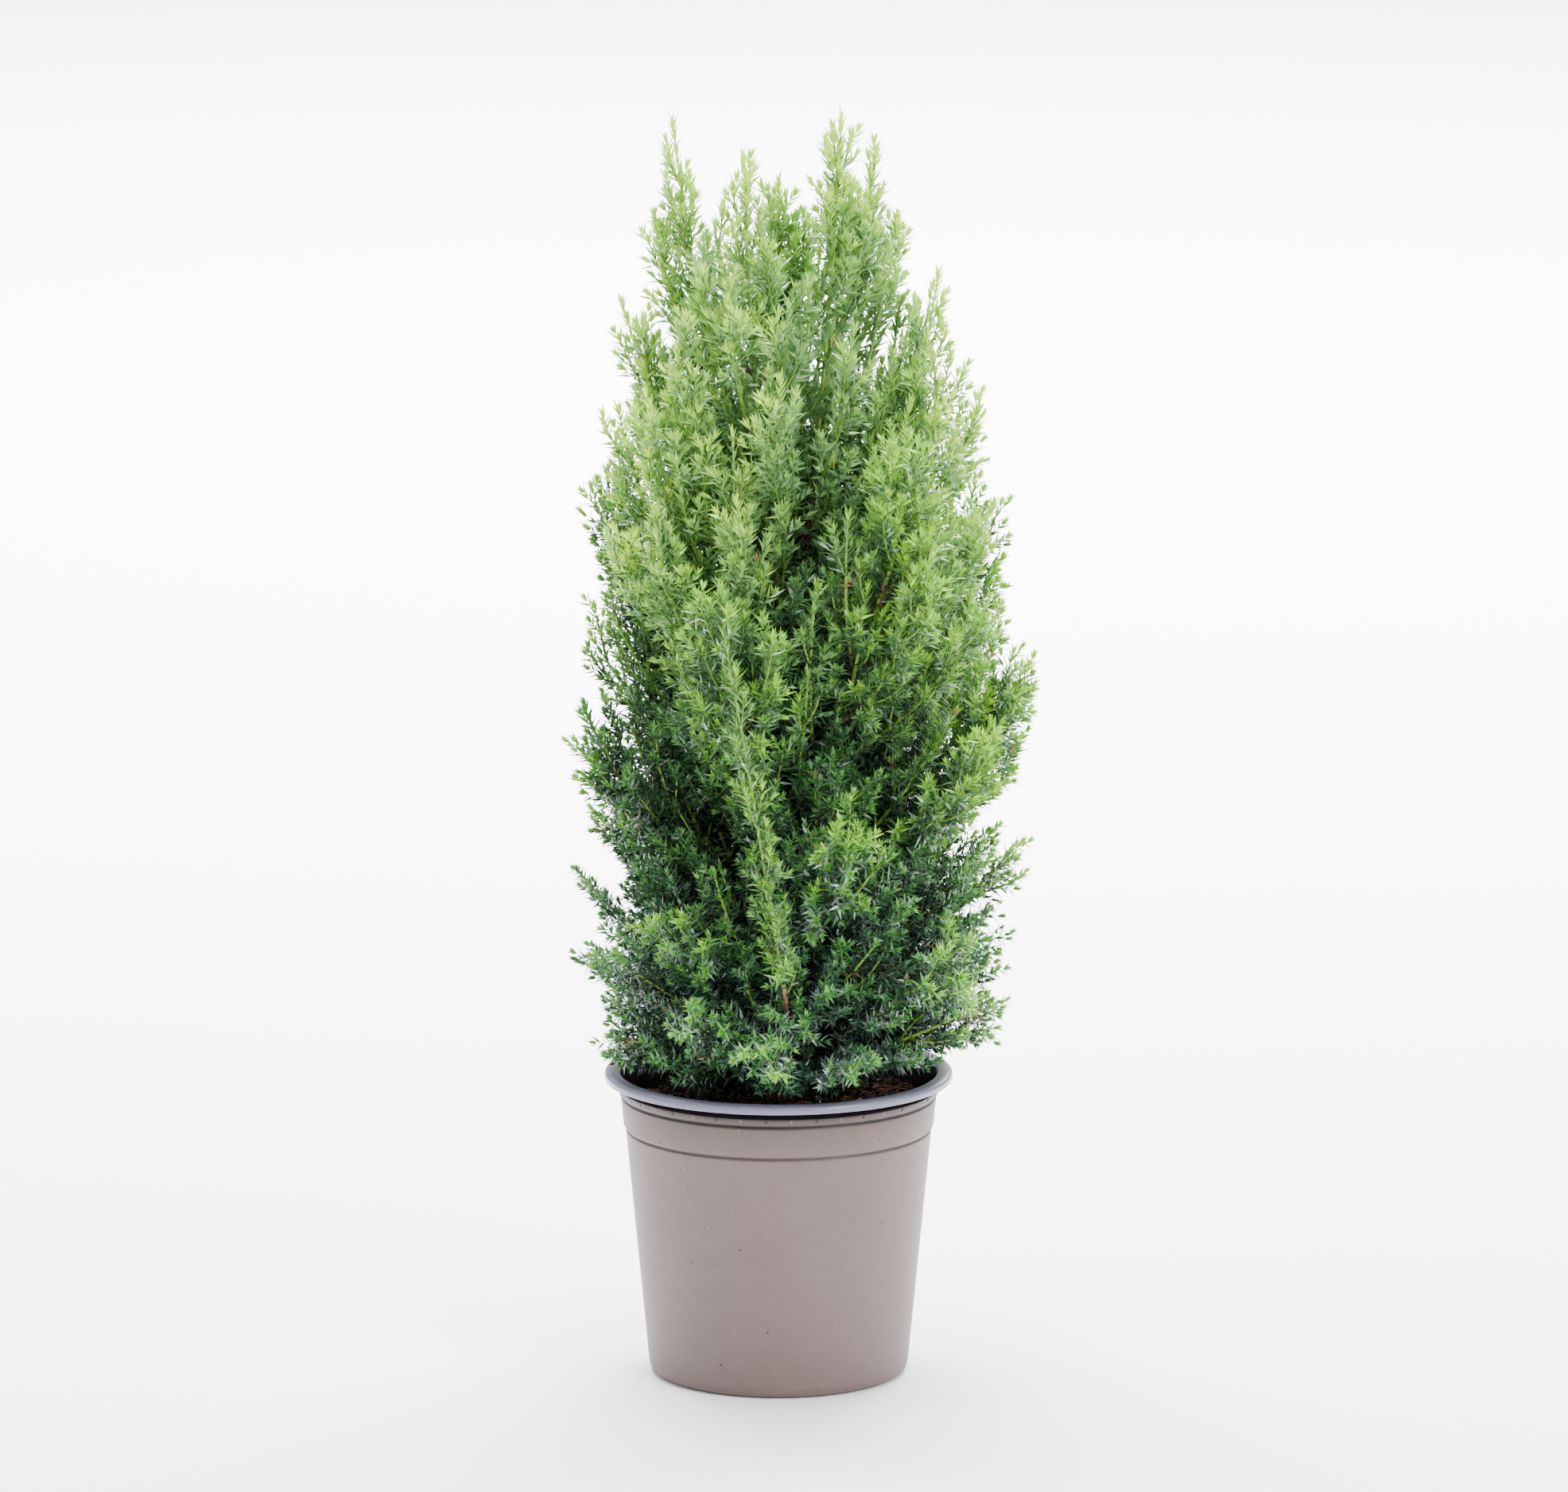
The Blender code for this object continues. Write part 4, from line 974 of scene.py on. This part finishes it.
def is_clear(points):
    """Whether points are over the soil, over the rim, and outside the trunk."""
    spread = np.linalg.norm(points[..., :2], axis=-1)
    over_soil = np.interp(spread, GROUND_REACHES, (SOIL_TOP + CLEAR_OF_SOIL, GROUND_AT_WALL))
    over_rim = POT_HEIGHT + CLEAR_OF_RIM
    beyond = np.where(spread < RIM_RADIUS + RIM_MARGIN, over_rim, DROOP_LEVEL)
    ground = np.where(spread < inner_radius(POT_HEIGHT) - RIM_MARGIN, over_soil, beyond)
    beside = np.linalg.norm(points - trunk_line(points[..., 2]), axis=-1)
    in_trunk = (beside < trunk_radius(points[..., 2]) + CLEAR_OF_TRUNK) & (points[..., 2] < TRUNK_TOP)
    return (points[..., 2] > ground) & ~in_trunk


def kept(shoots, keep):
    """The chosen ones of a set of shoots or needles, with all that the set holds on them."""
    return {key: values[keep] for key, values in shoots.items()}


def plume_profile(share):
    """The width of a plume along its limb, as a share of its greatest: soon full, then tapering to the
    tip."""
    return np.minimum(1.0, (share + 0.02) / 0.14) ** 0.6 * (1 - 0.78 * share ** 2.2)


def places_along(parents, spacing, stretch, chance):
    """Which parent each new shoot springs from, its number on that parent, and its share of the way
    along."""
    room = (stretch[1] - stretch[0]) * parents["size"]
    count = np.floor(room / spacing + chance.uniform(0, 1, len(room))).astype(int)
    which = np.repeat(np.arange(len(count)), count)
    order = np.arange(len(which)) - np.repeat(np.cumsum(count) - count, count)
    step = (order + chance.uniform(0.15, 0.85, len(which))) / count[which]
    return which, order, stretch[0] + (stretch[1] - stretch[0]) * step


def sprung(parents, which, share, turn, opening, size, rise, lift):
    """New shoots on their parents: each starts at an opening angle from its parent's heading, turned about
    it, and bends towards rise by lift over its second half."""
    root = place_on(parents, which, share)
    ahead = heading_on(parents, which, share)
    across = parents["across"][which]
    other = np.cross(ahead, across)
    outward = np.cos(turn)[:, None] * across + np.sin(turn)[:, None] * other
    start = np.cos(opening)[:, None] * ahead + np.sin(opening)[:, None] * outward
    later = unit(start * (1 - lift)[:, None] + rise * lift[:, None])
    bend = root + start * size[:, None] * 0.45
    tip = bend + later * size[:, None] * 0.55
    return root, bend, tip, ahead


def outline_reach(points):
    """How far from the pot's axis the crown reaches at each point's height: its right and its left outline,
    mixed by the cosine of the azimuth, and a little deeper to the front and the back."""
    side = points[..., 0] / np.maximum(np.linalg.norm(points[..., :2], axis=-1), 1e-6)
    right = np.interp(points[..., 2], CROWN_HEIGHTS, CROWN_RIGHT)
    left = np.interp(points[..., 2], CROWN_HEIGHTS, CROWN_LEFT)
    return (right * (1 + side) + left * (1 - side)) / 2 + DEEPER * np.sqrt(1 - side * side)


def held_in(root, bend, tip):
    """Shoots that would pass the outline are drawn back towards their root, to where they meet it."""
    inner, outer = np.linalg.norm(root[:, :2], axis=1), np.linalg.norm(tip[:, :2], axis=1)
    room = (outline_reach(tip) - inner) / np.maximum(outer - inner, 1e-6)
    room = np.where(outer > outline_reach(tip), np.clip(room, 0.3, 1.0), 1.0)[:, None]
    return root, root + (bend - root) * room, root + (tip - root) * room


def second_limbs(parents, chance):
    """Upright leaders of the second order on the longer limbs."""
    longer = kept(parents, parents["size"] > SECOND_LEAST_PARENT)
    which, _, share = places_along(longer, SECOND_SPACING, SECOND_STRETCH, chance)
    count = len(which)
    turn = chance.uniform(0, 2 * math.pi, count)
    opening = chance.uniform(*SECOND_OPENING, count)
    size = np.clip(longer["size"][which] * (1 - share) * chance.uniform(0.6, 1.05, count), *SECOND_SIZES)
    upright = np.clip((longer["tip"][which, 2] - 0.12) / 0.07, 0.2, 1.0)[:, None]
    rise = unit(heading_on(longer, which, share) * 0.5 + np.array([0.0, 0.0, 1.2]) * upright)
    lift = chance.uniform(0.6, 0.9, count)
    root, bend, tip, _ = sprung(longer, which, share, turn, opening, size, rise, lift)
    young = (chance.uniform(0, 1, count) < YOUNG_SHARE).astype(float)
    width = np.where(young > 0, YOUNG_WIDTH, SECOND_WIDTH) * chance.uniform(0.85, 1.15, count)
    return shoot_set(*held_in(root, bend, tip), width=width, limb=longer["limb"][which], young=young)


def how_far_out(place):
    """How far out in the crown each point is: 0 on the trunk, 1 on the outline, and 1 near the top."""
    centre = trunk_line(np.clip(place[:, 2], TRUNK_FOOT, TRUNK_TOP))[:, :2]
    spread = np.linalg.norm(place[:, :2] - centre, axis=1)
    outer = np.clip(spread / np.interp(place[:, 2], OUTLINE_HEIGHTS, OUTLINE_REACHES), 0, 1.15)
    return np.maximum(outer, np.clip((place[:, 2] - 0.36) / 0.09, 0, 1))


def spread_out(shoots, taken, gaps, order):
    """The shoots that, tried in this order, keep their tip at least their own gap from every tip taken
    before."""
    tips = np.concatenate([taken, np.zeros_like(shoots["tip"])])
    count = len(taken)
    keep = np.zeros(len(order), bool)
    for number in order:
        tip = shoots["tip"][number]
        keep[number] = np.linalg.norm(tips[:count] - tip, axis=1).min() > gaps[number]
        if keep[number]:
            tips[count] = tip
            count += 1
    return kept(shoots, keep)


def near_a_leader(shoots):
    """Whether each tip is as near the axis of a leader's tip as the spires are thick at its height, which
    at the top stand apart and lower down meet."""
    axes = np.array(LEADER_TIPS)[None, :, :2]
    beside = np.linalg.norm(shoots["tip"][:, None, :2] - axes, axis=2).min(axis=1)
    return beside < np.interp(shoots["tip"][:, 2], SPIRE_HEIGHTS, SPIRE_REACHES)


def front_shoot():
    """One long young shoot that stands out in front of the crown, with its yellow-green stem in view."""
    root, bend, tip = (np.array([place]) for place in FRONT_SHOOT)
    limb = np.array([FRONT_LIMB])
    return shoot_set(root, bend, tip, width=np.array([YOUNG_WIDTH]), limb=limb, young=np.ones(1))


def low_shoots(chance):
    """Shoots straight from the trunk, which close the crown round its foot and spread low over the soil."""
    share = (np.arange(LOW_SHOOTS) + chance.uniform(0, 1, LOW_SHOOTS)) / LOW_SHOOTS
    height = LOW_SHOOT_HEIGHTS[0] + (LOW_SHOOT_HEIGHTS[1] - LOW_SHOOT_HEIGHTS[0]) * share ** 1.4
    turn = GOLDEN_ANGLE * np.arange(LOW_SHOOTS)
    steep = np.interp(share, (0, 0.35, 1), (4, 32, 52)) + chance.uniform(-8, 8, LOW_SHOOTS)
    steep = np.radians(steep)
    flat = np.stack([np.cos(turn), np.sin(turn), np.zeros(LOW_SHOOTS)], axis=-1)
    up = np.array([0.0, 0.0, 1.0])
    way = flat * np.cos(steep)[:, None] + up * np.sin(steep)[:, None]
    size = chance.uniform(*LOW_SHOOT_SIZES, LOW_SHOOTS)
    root = trunk_line(height) + flat * trunk_radius(height)[:, None]
    bend = root + way * size[:, None] * 0.5
    later = unit(way + up * np.interp(share, (0, 0.3, 1), (-0.15, 0.5, 0.9))[:, None])
    tip = bend + later * size[:, None] * 0.5
    limb = np.interp(share, (0, 1), (0, 18)).astype(int)
    return shoot_set(*held_in(root, bend, tip), limb=limb, young=np.zeros(LOW_SHOOTS))


def side_shoots(parents, chance):
    """Side shoots all round a limb, as long as the plume is wide there, turning up towards the light."""
    which, order, share = places_along(parents, SIDE_SPACING, SIDE_STRETCH, chance)
    count = len(which)
    turn = GOLDEN_ANGLE * order + parents["limb"][which] * 1.7 + chance.uniform(-0.35, 0.35, count)
    opening = np.interp(share, (0, 1), SIDE_OPENING) * chance.uniform(0.85, 1.15, count)
    size = parents["width"][which] * plume_profile(share) / np.sin(opening * 0.85)
    size = np.clip(size * chance.uniform(0.85, 1.2, count), 0.008, LONGEST_SIDE)
    upright = np.clip((parents["tip"][which, 2] - 0.135) / 0.09, 0.05, 1.0)
    ahead = heading_on(parents, which, share)
    rise = unit(ahead + np.array([0.0, 0.0, 1.3]) * upright[:, None])
    lift = chance.uniform(0.55, 0.9, count)
    root, bend, tip, _ = sprung(parents, which, share, turn, opening, size, rise, lift)
    return shoot_set(*held_in(root, bend, tip), limb=parents["limb"][which], young=parents["young"][which])


def branchlets(parents, chance, spacing, stretch, openings, sizes, share_of_parent, flatness):
    """Branchlets left and right of a shoot in turn, in one rough plane, shorter towards its tip."""
    which, order, share = places_along(parents, spacing, stretch, chance)
    count = len(which)
    plane = chance.uniform(0, math.pi, len(parents["size"]))
    turn = plane[which] + math.pi * (order % 2) + chance.normal(0, flatness, count)
    opening = np.interp(share, (0, 1), openings) * chance.uniform(0.85, 1.15, count)
    size = parents["size"][which] * share_of_parent * (1 - 0.72 * share)
    size = np.clip(size * chance.uniform(0.75, 1.25, count), *sizes)
    lift = chance.uniform(0.2, 0.6, count)
    ahead = heading_on(parents, which, share)
    root, bend, tip, _ = sprung(parents, which, share, turn, opening, size, ahead, lift)
    passed_on = {key: parents[key][which] for key in ("limb", "spray", "young")}
    return shoot_set(root, bend, tip, **passed_on)


def clear_shoots(shoots, margin=0.0):
    """The shoots whose middle and tip are clear of the soil, the pot and the trunk, also when lowered by
    margin."""
    everyone = np.arange(len(shoots["size"]))
    lower = np.array([0.0, 0.0, margin])
    middle = is_clear(place_on(shoots, everyone, np.full(len(everyone), 0.5)) - lower)
    return kept(shoots, middle & is_clear(shoots["tip"] - lower))


def stem_tubes(name, shoots, foot_radius, tip_radius, rows, columns):
    """Plain thin stems, closed at the foot and drawn to one point at the tip."""
    count = len(shoots["root"])
    which = np.arange(count)[:, None]
    share = np.broadcast_to(np.linspace(0, 1, rows + 1)[None, :-1], (count, rows))
    line = place_on(shoots, which, share)
    ahead = heading_on(shoots, which, share)
    across = shoots["across"][:, None]
    other = np.cross(ahead, across)
    turn = (np.arange(columns) * 2 * math.pi / columns)[:, None]
    thick = foot_radius + (tip_radius - foot_radius) * share
    ring = np.cos(turn) * across[:, :, None] + np.sin(turn) * other[:, :, None]
    tube = line[:, :, None] + thick[..., None, None] * ring
    points = np.concatenate([tube.reshape(count, -1, 3), shoots["tip"][:, None]], axis=1)
    each = rows * columns + 1
    shift = (np.arange(count) * each)[:, None, None]
    walls = (ring_faces(rows, columns)[None] + shift).reshape(-1, 4)
    point = (fan_faces(np.arange(columns) + (rows - 1) * columns, each - 1)[None] + shift).reshape(-1, 3)
    foot = (np.arange(columns)[::-1][None, None] + shift).reshape(-1, columns)
    return mesh_piece(name, points.reshape(-1, 3), walls, point, foot)


def joined(*sets):
    """Several sets of shoots as one, with what they all have."""
    keys = set.intersection(*(set(one) for one in sets))
    return {key: np.concatenate([one[key] for one in sets]) for key in sorted(keys)}


def stem_material(name, colour):
    """Young green stems, a little uneven in tone, with a faint grain."""
    return finished(name, colour, 0.5, (140.0, 0.5), (1800.0, 0.00005))[0]


chance = np.random.default_rng(SHOOT_SEED)
seconds = clear_shoots(second_limbs(limbs, chance))
seconds = kept(seconds, near_a_leader(seconds))
longest_first = np.argsort(-seconds["size"], kind="stable")
seconds = spread_out(seconds, limbs["tip"], np.full(len(longest_first), SECOND_GAP), longest_first)
seconds = joined(seconds, front_shoot())
limbs["width"] = limbs["width"] * LIMB_WIDTH_SHARE
bearers = joined(limbs, seconds)
sides = clear_shoots(joined(side_shoots(bearers, chance), low_shoots(chance)), SIDE_CLEARANCE)
sides = kept(sides, near_a_leader(sides))
side_gaps = np.interp(how_far_out(sides["tip"]), SIDE_GAP_PLACES, SIDE_GAPS)
side_gaps *= np.interp(sides["tip"][:, 2], CLOSER_HEIGHTS, CLOSER_SHARES)
sides = spread_out(sides, bearers["tip"], side_gaps, chance.permutation(len(side_gaps)))
sides["spray"] = np.arange(len(sides["size"]))
sprays = clear_shoots(branchlets(
    sides, chance, BRANCHLET_SPACING, BRANCHLET_STRETCH, BRANCHLET_OPENING, BRANCHLET_SIZES,
    BRANCHLET_SHARE, BRANCHLET_SCATTER))
forking = kept(sprays, sprays["size"] > FORKING_SIZE)
twiglets = clear_shoots(branchlets(
    forking, chance, TWIGLET_SPACING, TWIGLET_STRETCH, TWIGLET_OPENING, TWIGLET_SIZES,
    TWIGLET_SHARE, TWIGLET_SCATTER))
side_finish = stem_material("side_shoot_green", SHOOT_GREEN)
sprig_finish = stem_material("sprig_green", SPRIG_GREEN)
second_wood = limb_tubes(
    "second_leaders", seconds, SECOND_RADII, SECOND_ROWS, SECOND_COLUMNS, SECOND_RELIEF, SECOND_YOUNG_FROM)
second_wood.data.materials.append(BARK_FINISH)
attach(second_wood, "root")
for tier, first, last in TIERS:
    nodes = ["foliage_%02d" % (number + 1) for number in range(first, last)]
    here = [kept(one, (one["limb"] >= first) & (one["limb"] < last)) for one in (sides, sprays, twiglets)]
    side_stems = stem_tubes("side_shoots_" + tier, here[0], *SIDE_STEM)
    sprig_stems = stem_tubes("sprigs_" + tier, joined(*here[1:]), *SPRIG_STEM)
    side_stems.data.materials.append(side_finish)
    sprig_stems.data.materials.append(sprig_finish)
    for piece in (side_stems, sprig_stems):
        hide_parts(*nodes)
        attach(piece, "root")

# The needles. Awl-shaped young leaves in pairs, each a quarter turn on from the last, shorter at the tips,
# where they end in a small rosette. They are blue-green inside and low down and brighter outside and high
# up, partly by their own colour and partly by painted shade and light; yellow-green at the tips; pale on
# some, partly by their pale bloom and partly by painted glints; and here and there a sprig has died and
# turned rust brown.
NEEDLE_SEED = 77
NODE_SPACING = (0.00215, 0.00205, 0.00195, 0.00190)
HIGHER_SPACING = 1.30
NEEDLE_LENGTHS = (0.0070, 0.0064, 0.0057, 0.0050)
NEEDLE_WIDTHS = (0.00120, 0.00136)
NEEDLE_DEPTH = 0.00032
WIDEST_AT = 0.30
ROSETTE = 6
ROSETTE_PLACE = 0.985
ROSETTE_FROM = 0.98
ROSETTE_LENGTH = 0.66
LOW_OPENING = math.radians(66)
HIGH_OPENING = math.radians(42)
ROSETTE_OPENING = math.radians(22)
TIP_CLOSING = 0.40
DEAD_SHARE = 0.0024
DEAD_LENGTH = 6
# Pale needles: partly the needles' own pale bloom and partly painted glints, more outside and low down.
FROST_AND_GLINT_SHARE = 0.055
NEW_GROWTH = 0.0095
INNER_REACH = 0.50
INNER_KEPT = 0.55
INNER_WIDENING = 0.5
YOUNG_LIGHT = -0.14
SPRIG_LUCK = 0.07
SPRAY_LUCK = 0.08
NEEDLE_LUCK = 0.04
OUTER_LIGHT = 0.22
FRESH_LIGHT = 0.52
HIGH_LIGHT = 0.32
FOOT_SHADE = 0.16
DEAD_BELOW = 0.6
CROWN_FOOT = 0.13
CROWN_DEPTH = 0.32
# Painted shade and light: the colours step from shade to tip by how much light a needle is given, and each is
# given at the foot, low down and at the top, lighter higher up. The yellow-green of the tips and of the top is
# partly the plant's own new growth.
TIER_PLACES = (0.0, 0.40, 0.58, 1.0)
COLOUR_PLACES = (0.0, 0.4, 1.0)
NEEDLE_COLOURS = (
    ("rust", (124, 94, 68), (128, 92, 60), (150, 108, 72)),
    ("frost_and_glint", (158, 186, 176), (150, 182, 164), (180, 212, 170)),
    ("shade", (27, 47, 37), (34, 56, 40), (98, 142, 86)),
    ("deep", (40, 74, 49), (50, 86, 53), (120, 166, 90)),
    ("leaf", (60, 108, 60), (64, 110, 54), (138, 184, 86)),
    ("bright", (92, 150, 64), (86, 142, 50), (156, 202, 76)),
    ("tip", (136, 196, 68), (124, 182, 48), (188, 226, 72)),
)
STEPS = (0.17, 0.38, 0.58, 0.80)


def needle_places(shoots, spacing, length, chance):
    """Pairs of needles along the shoots and a rosette at each tip: for each needle its shoot, its share of
    the way, its turn about the shoot, and its length."""
    height = np.clip((shoots["tip"][:, 2] - 0.26) / 0.16, 0, 1)
    spacing = spacing * (1 + (HIGHER_SPACING - 1) * height)
    count = np.maximum(2, np.ceil(shoots["size"] / spacing)).astype(int)
    which = np.repeat(np.arange(len(count)), count)
    order = np.arange(len(which)) - np.repeat(np.cumsum(count) - count, count)
    share = 1 - (1 - (order + 0.5) / count[which]) ** 1.15
    twist = chance.uniform(0, 2 * math.pi, len(count))
    turn = twist[which] + order * math.pi / 2
    shorter = length * (0.72 + 0.28 * np.minimum(1.0, (1 - share) * 4))
    which, share, shorter = (np.repeat(values, 2) for values in (which, share, shorter))
    turn = np.repeat(turn, 2) + math.pi * (np.arange(len(which)) % 2)
    turn += chance.normal(0, 0.22, len(which))
    ends = np.repeat(np.arange(len(count)), ROSETTE)
    end_turn = twist[ends] + np.arange(len(ends)) % ROSETTE * 2 * math.pi / ROSETTE
    which = np.concatenate([which, ends])
    share = np.concatenate([share, np.full(len(ends), ROSETTE_PLACE)])
    turn = np.concatenate([turn, end_turn])
    shorter = np.concatenate([shorter, np.full(len(ends), ROSETTE_LENGTH * length)])
    return which, share, turn, shorter


def up_the_crown(place):
    """How high in the crown each point is: 0 up to the crown's foot, 1 from its top on."""
    return np.clip((place[:, 2] - CROWN_FOOT) / CROWN_DEPTH, 0, 1)


def grown_needles(shoots, spacing, length, chance):
    """Needles on one set of shoots, as their foot, their three axes and their length, with what their
    colour goes by. The axes are ahead along the needle, wide across it, and face on its upper side."""
    which, share, turn, size = needle_places(shoots, spacing, length, chance)
    root = place_on(shoots, which, share)
    ahead = heading_on(shoots, which, share)
    across = shoots["across"][which]
    outward = np.cos(turn)[:, None] * across + np.sin(turn)[:, None] * np.cross(ahead, across)
    height = up_the_crown(root)
    opening = LOW_OPENING + (HIGH_OPENING - LOW_OPENING) * height
    opening = opening * (1 - TIP_CLOSING * share ** 3) * chance.uniform(0.82, 1.18, len(which))
    opening = np.where(share > ROSETTE_FROM, ROSETTE_OPENING * chance.uniform(0.6, 1.3, len(which)), opening)
    size = size * (0.90 + 0.32 * height) * chance.uniform(0.82, 1.15, len(which))
    inside = np.clip((INNER_REACH + 0.1 - how_far_out(root)) / 0.2, 0, 1)
    breadth = np.interp(height, (0, 1), NEEDLE_WIDTHS) * (1 + INNER_WIDENING * inside)
    bow = np.cos(opening)[:, None], np.sin(opening)[:, None]
    return {
        "root": root,
        "along": ahead * bow[0] + outward * bow[1],
        "wide": np.cross(ahead, outward),
        "face": ahead * bow[1] - outward * bow[0],
        "size": size,
        "breadth": breadth,
        "share": share,
        "limb": shoots["limb"][which],
        "spray": shoots["spray"][which],
        "young": shoots["young"][which],
    }


def needle_mesh(name, needles):
    """Needles as closed four-faced solids on their foot, their tip and two widest points, which are raised
    on the face so that the back has a keel."""
    foot, along = needles["root"], needles["along"] * needles["size"][:, None]
    middle = foot + along * WIDEST_AT + needles["face"] * NEEDLE_DEPTH
    side = needles["wide"] * needles["breadth"][:, None] / 2
    points = np.stack([foot, middle + side, middle - side, foot + along], axis=1).reshape(-1, 3)
    four = np.array([(0, 2, 1), (1, 2, 3), (0, 1, 3), (0, 3, 2)])
    faces = (four[None] + 4 * np.arange(len(foot))[:, None, None]).reshape(-1, 3)
    return mesh_piece(name, points, faces, smooth=False)


def dealt_colours(needles, chance):
    """The number of each needle's colour. Its light goes by how far out and how high it is, which is painted
    light and shade, lighter outside and high up, and darker towards the foot of its shoot; by how near it is
    to the tip of its side shoot or of its own sprig, the yellow-green of new growth; and by a chance dealt to
    its spray."""
    outer = how_far_out(needles["root"])
    height = up_the_crown(needles["root"])
    tip = np.clip((needles["share"] - 0.70) / 0.30, 0, 1)
    spray_tips = np.concatenate([sides["tip"], bearers["tip"]])[needles["spray"]]
    new_growth = np.clip(1.15 - np.linalg.norm(needles["root"] - spray_tips, axis=1) / NEW_GROWTH, 0, 1)
    fresh = np.maximum(new_growth, 0.8 * tip)
    spray_luck = chance.normal(0, SPRAY_LUCK, needles["spray"].max() + 1)[needles["spray"]]
    # Painted shade and light: lighter outside and high up, darker towards the foot of each shoot.
    light = OUTER_LIGHT * outer ** 2 + FRESH_LIGHT * fresh * outer + HIGH_LIGHT * height * outer + spray_luck
    light -= FOOT_SHADE * (1 - needles["share"])
    light += chance.normal(0, SPRIG_LUCK, needles["sprig"].max() + 1)[needles["sprig"]]
    light += YOUNG_LIGHT * needles["young"]
    light += chance.normal(0, NEEDLE_LUCK, len(light))
    colour = 2 + np.digitize(light, STEPS)
    # Pale needles, partly their bloom and partly painted glints, kept away from new growth.
    frost_and_glint = chance.uniform(0, 1, len(light)) < FROST_AND_GLINT_SHARE * (1.4 - height) * outer
    colour = np.where(frost_and_glint & (fresh < 0.4), 1, colour)
    dead = chance.uniform(0, 1, needles["sprig"].max() + 1) < DEAD_SHARE
    return np.where(dead[needles["sprig"]] & (height < DEAD_BELOW), 0, colour)


chance = np.random.default_rng(NEEDLE_SEED)
bearers["spray"] = len(sides["root"]) + np.arange(len(bearers["size"]))
leaf_sets = []
sprig_count = 0
for shoots, spacing, length in zip((bearers, sides, sprays, twiglets), NODE_SPACING, NEEDLE_LENGTHS):
    grown = grown_needles(shoots, spacing, length, chance)
    grown["sprig"] = (np.arange(len(grown["size"])) // DEAD_LENGTH) + sprig_count
    sprig_count = grown["sprig"].max() + 1
    leaf_sets.append(grown)
needles = joined(*leaf_sets)
ends = needles["root"] + needles["along"] * needles["size"][:, None]
inner = (how_far_out(needles["root"]) < INNER_REACH) & (chance.uniform(0, 1, len(ends)) > INNER_KEPT)
needles = kept(needles, is_clear(needles["root"]) & is_clear(ends) & ~inner)
colour_of = dealt_colours(needles, chance)
for number, (colour_name, *stages) in enumerate(NEEDLE_COLOURS):
    for (tier, first, last), place in zip(TIERS, TIER_PLACES):
        colour = screen_colour(*(np.interp(place, COLOUR_PLACES, channel) for channel in zip(*stages)))
        finish = painted("needle_%s_%s" % (colour_name, tier), colour, 0.30)[0]
        mine = (colour_of == number) & (needles["limb"] >= first) & (needles["limb"] < last)
        piece = needle_mesh("needles_%s_%s" % (colour_name, tier), kept(needles, mine))
        piece.data.materials.append(finish)
        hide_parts(*("foliage_%02d" % (limb + 1) for limb in range(first, last)))
        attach(piece, "root")
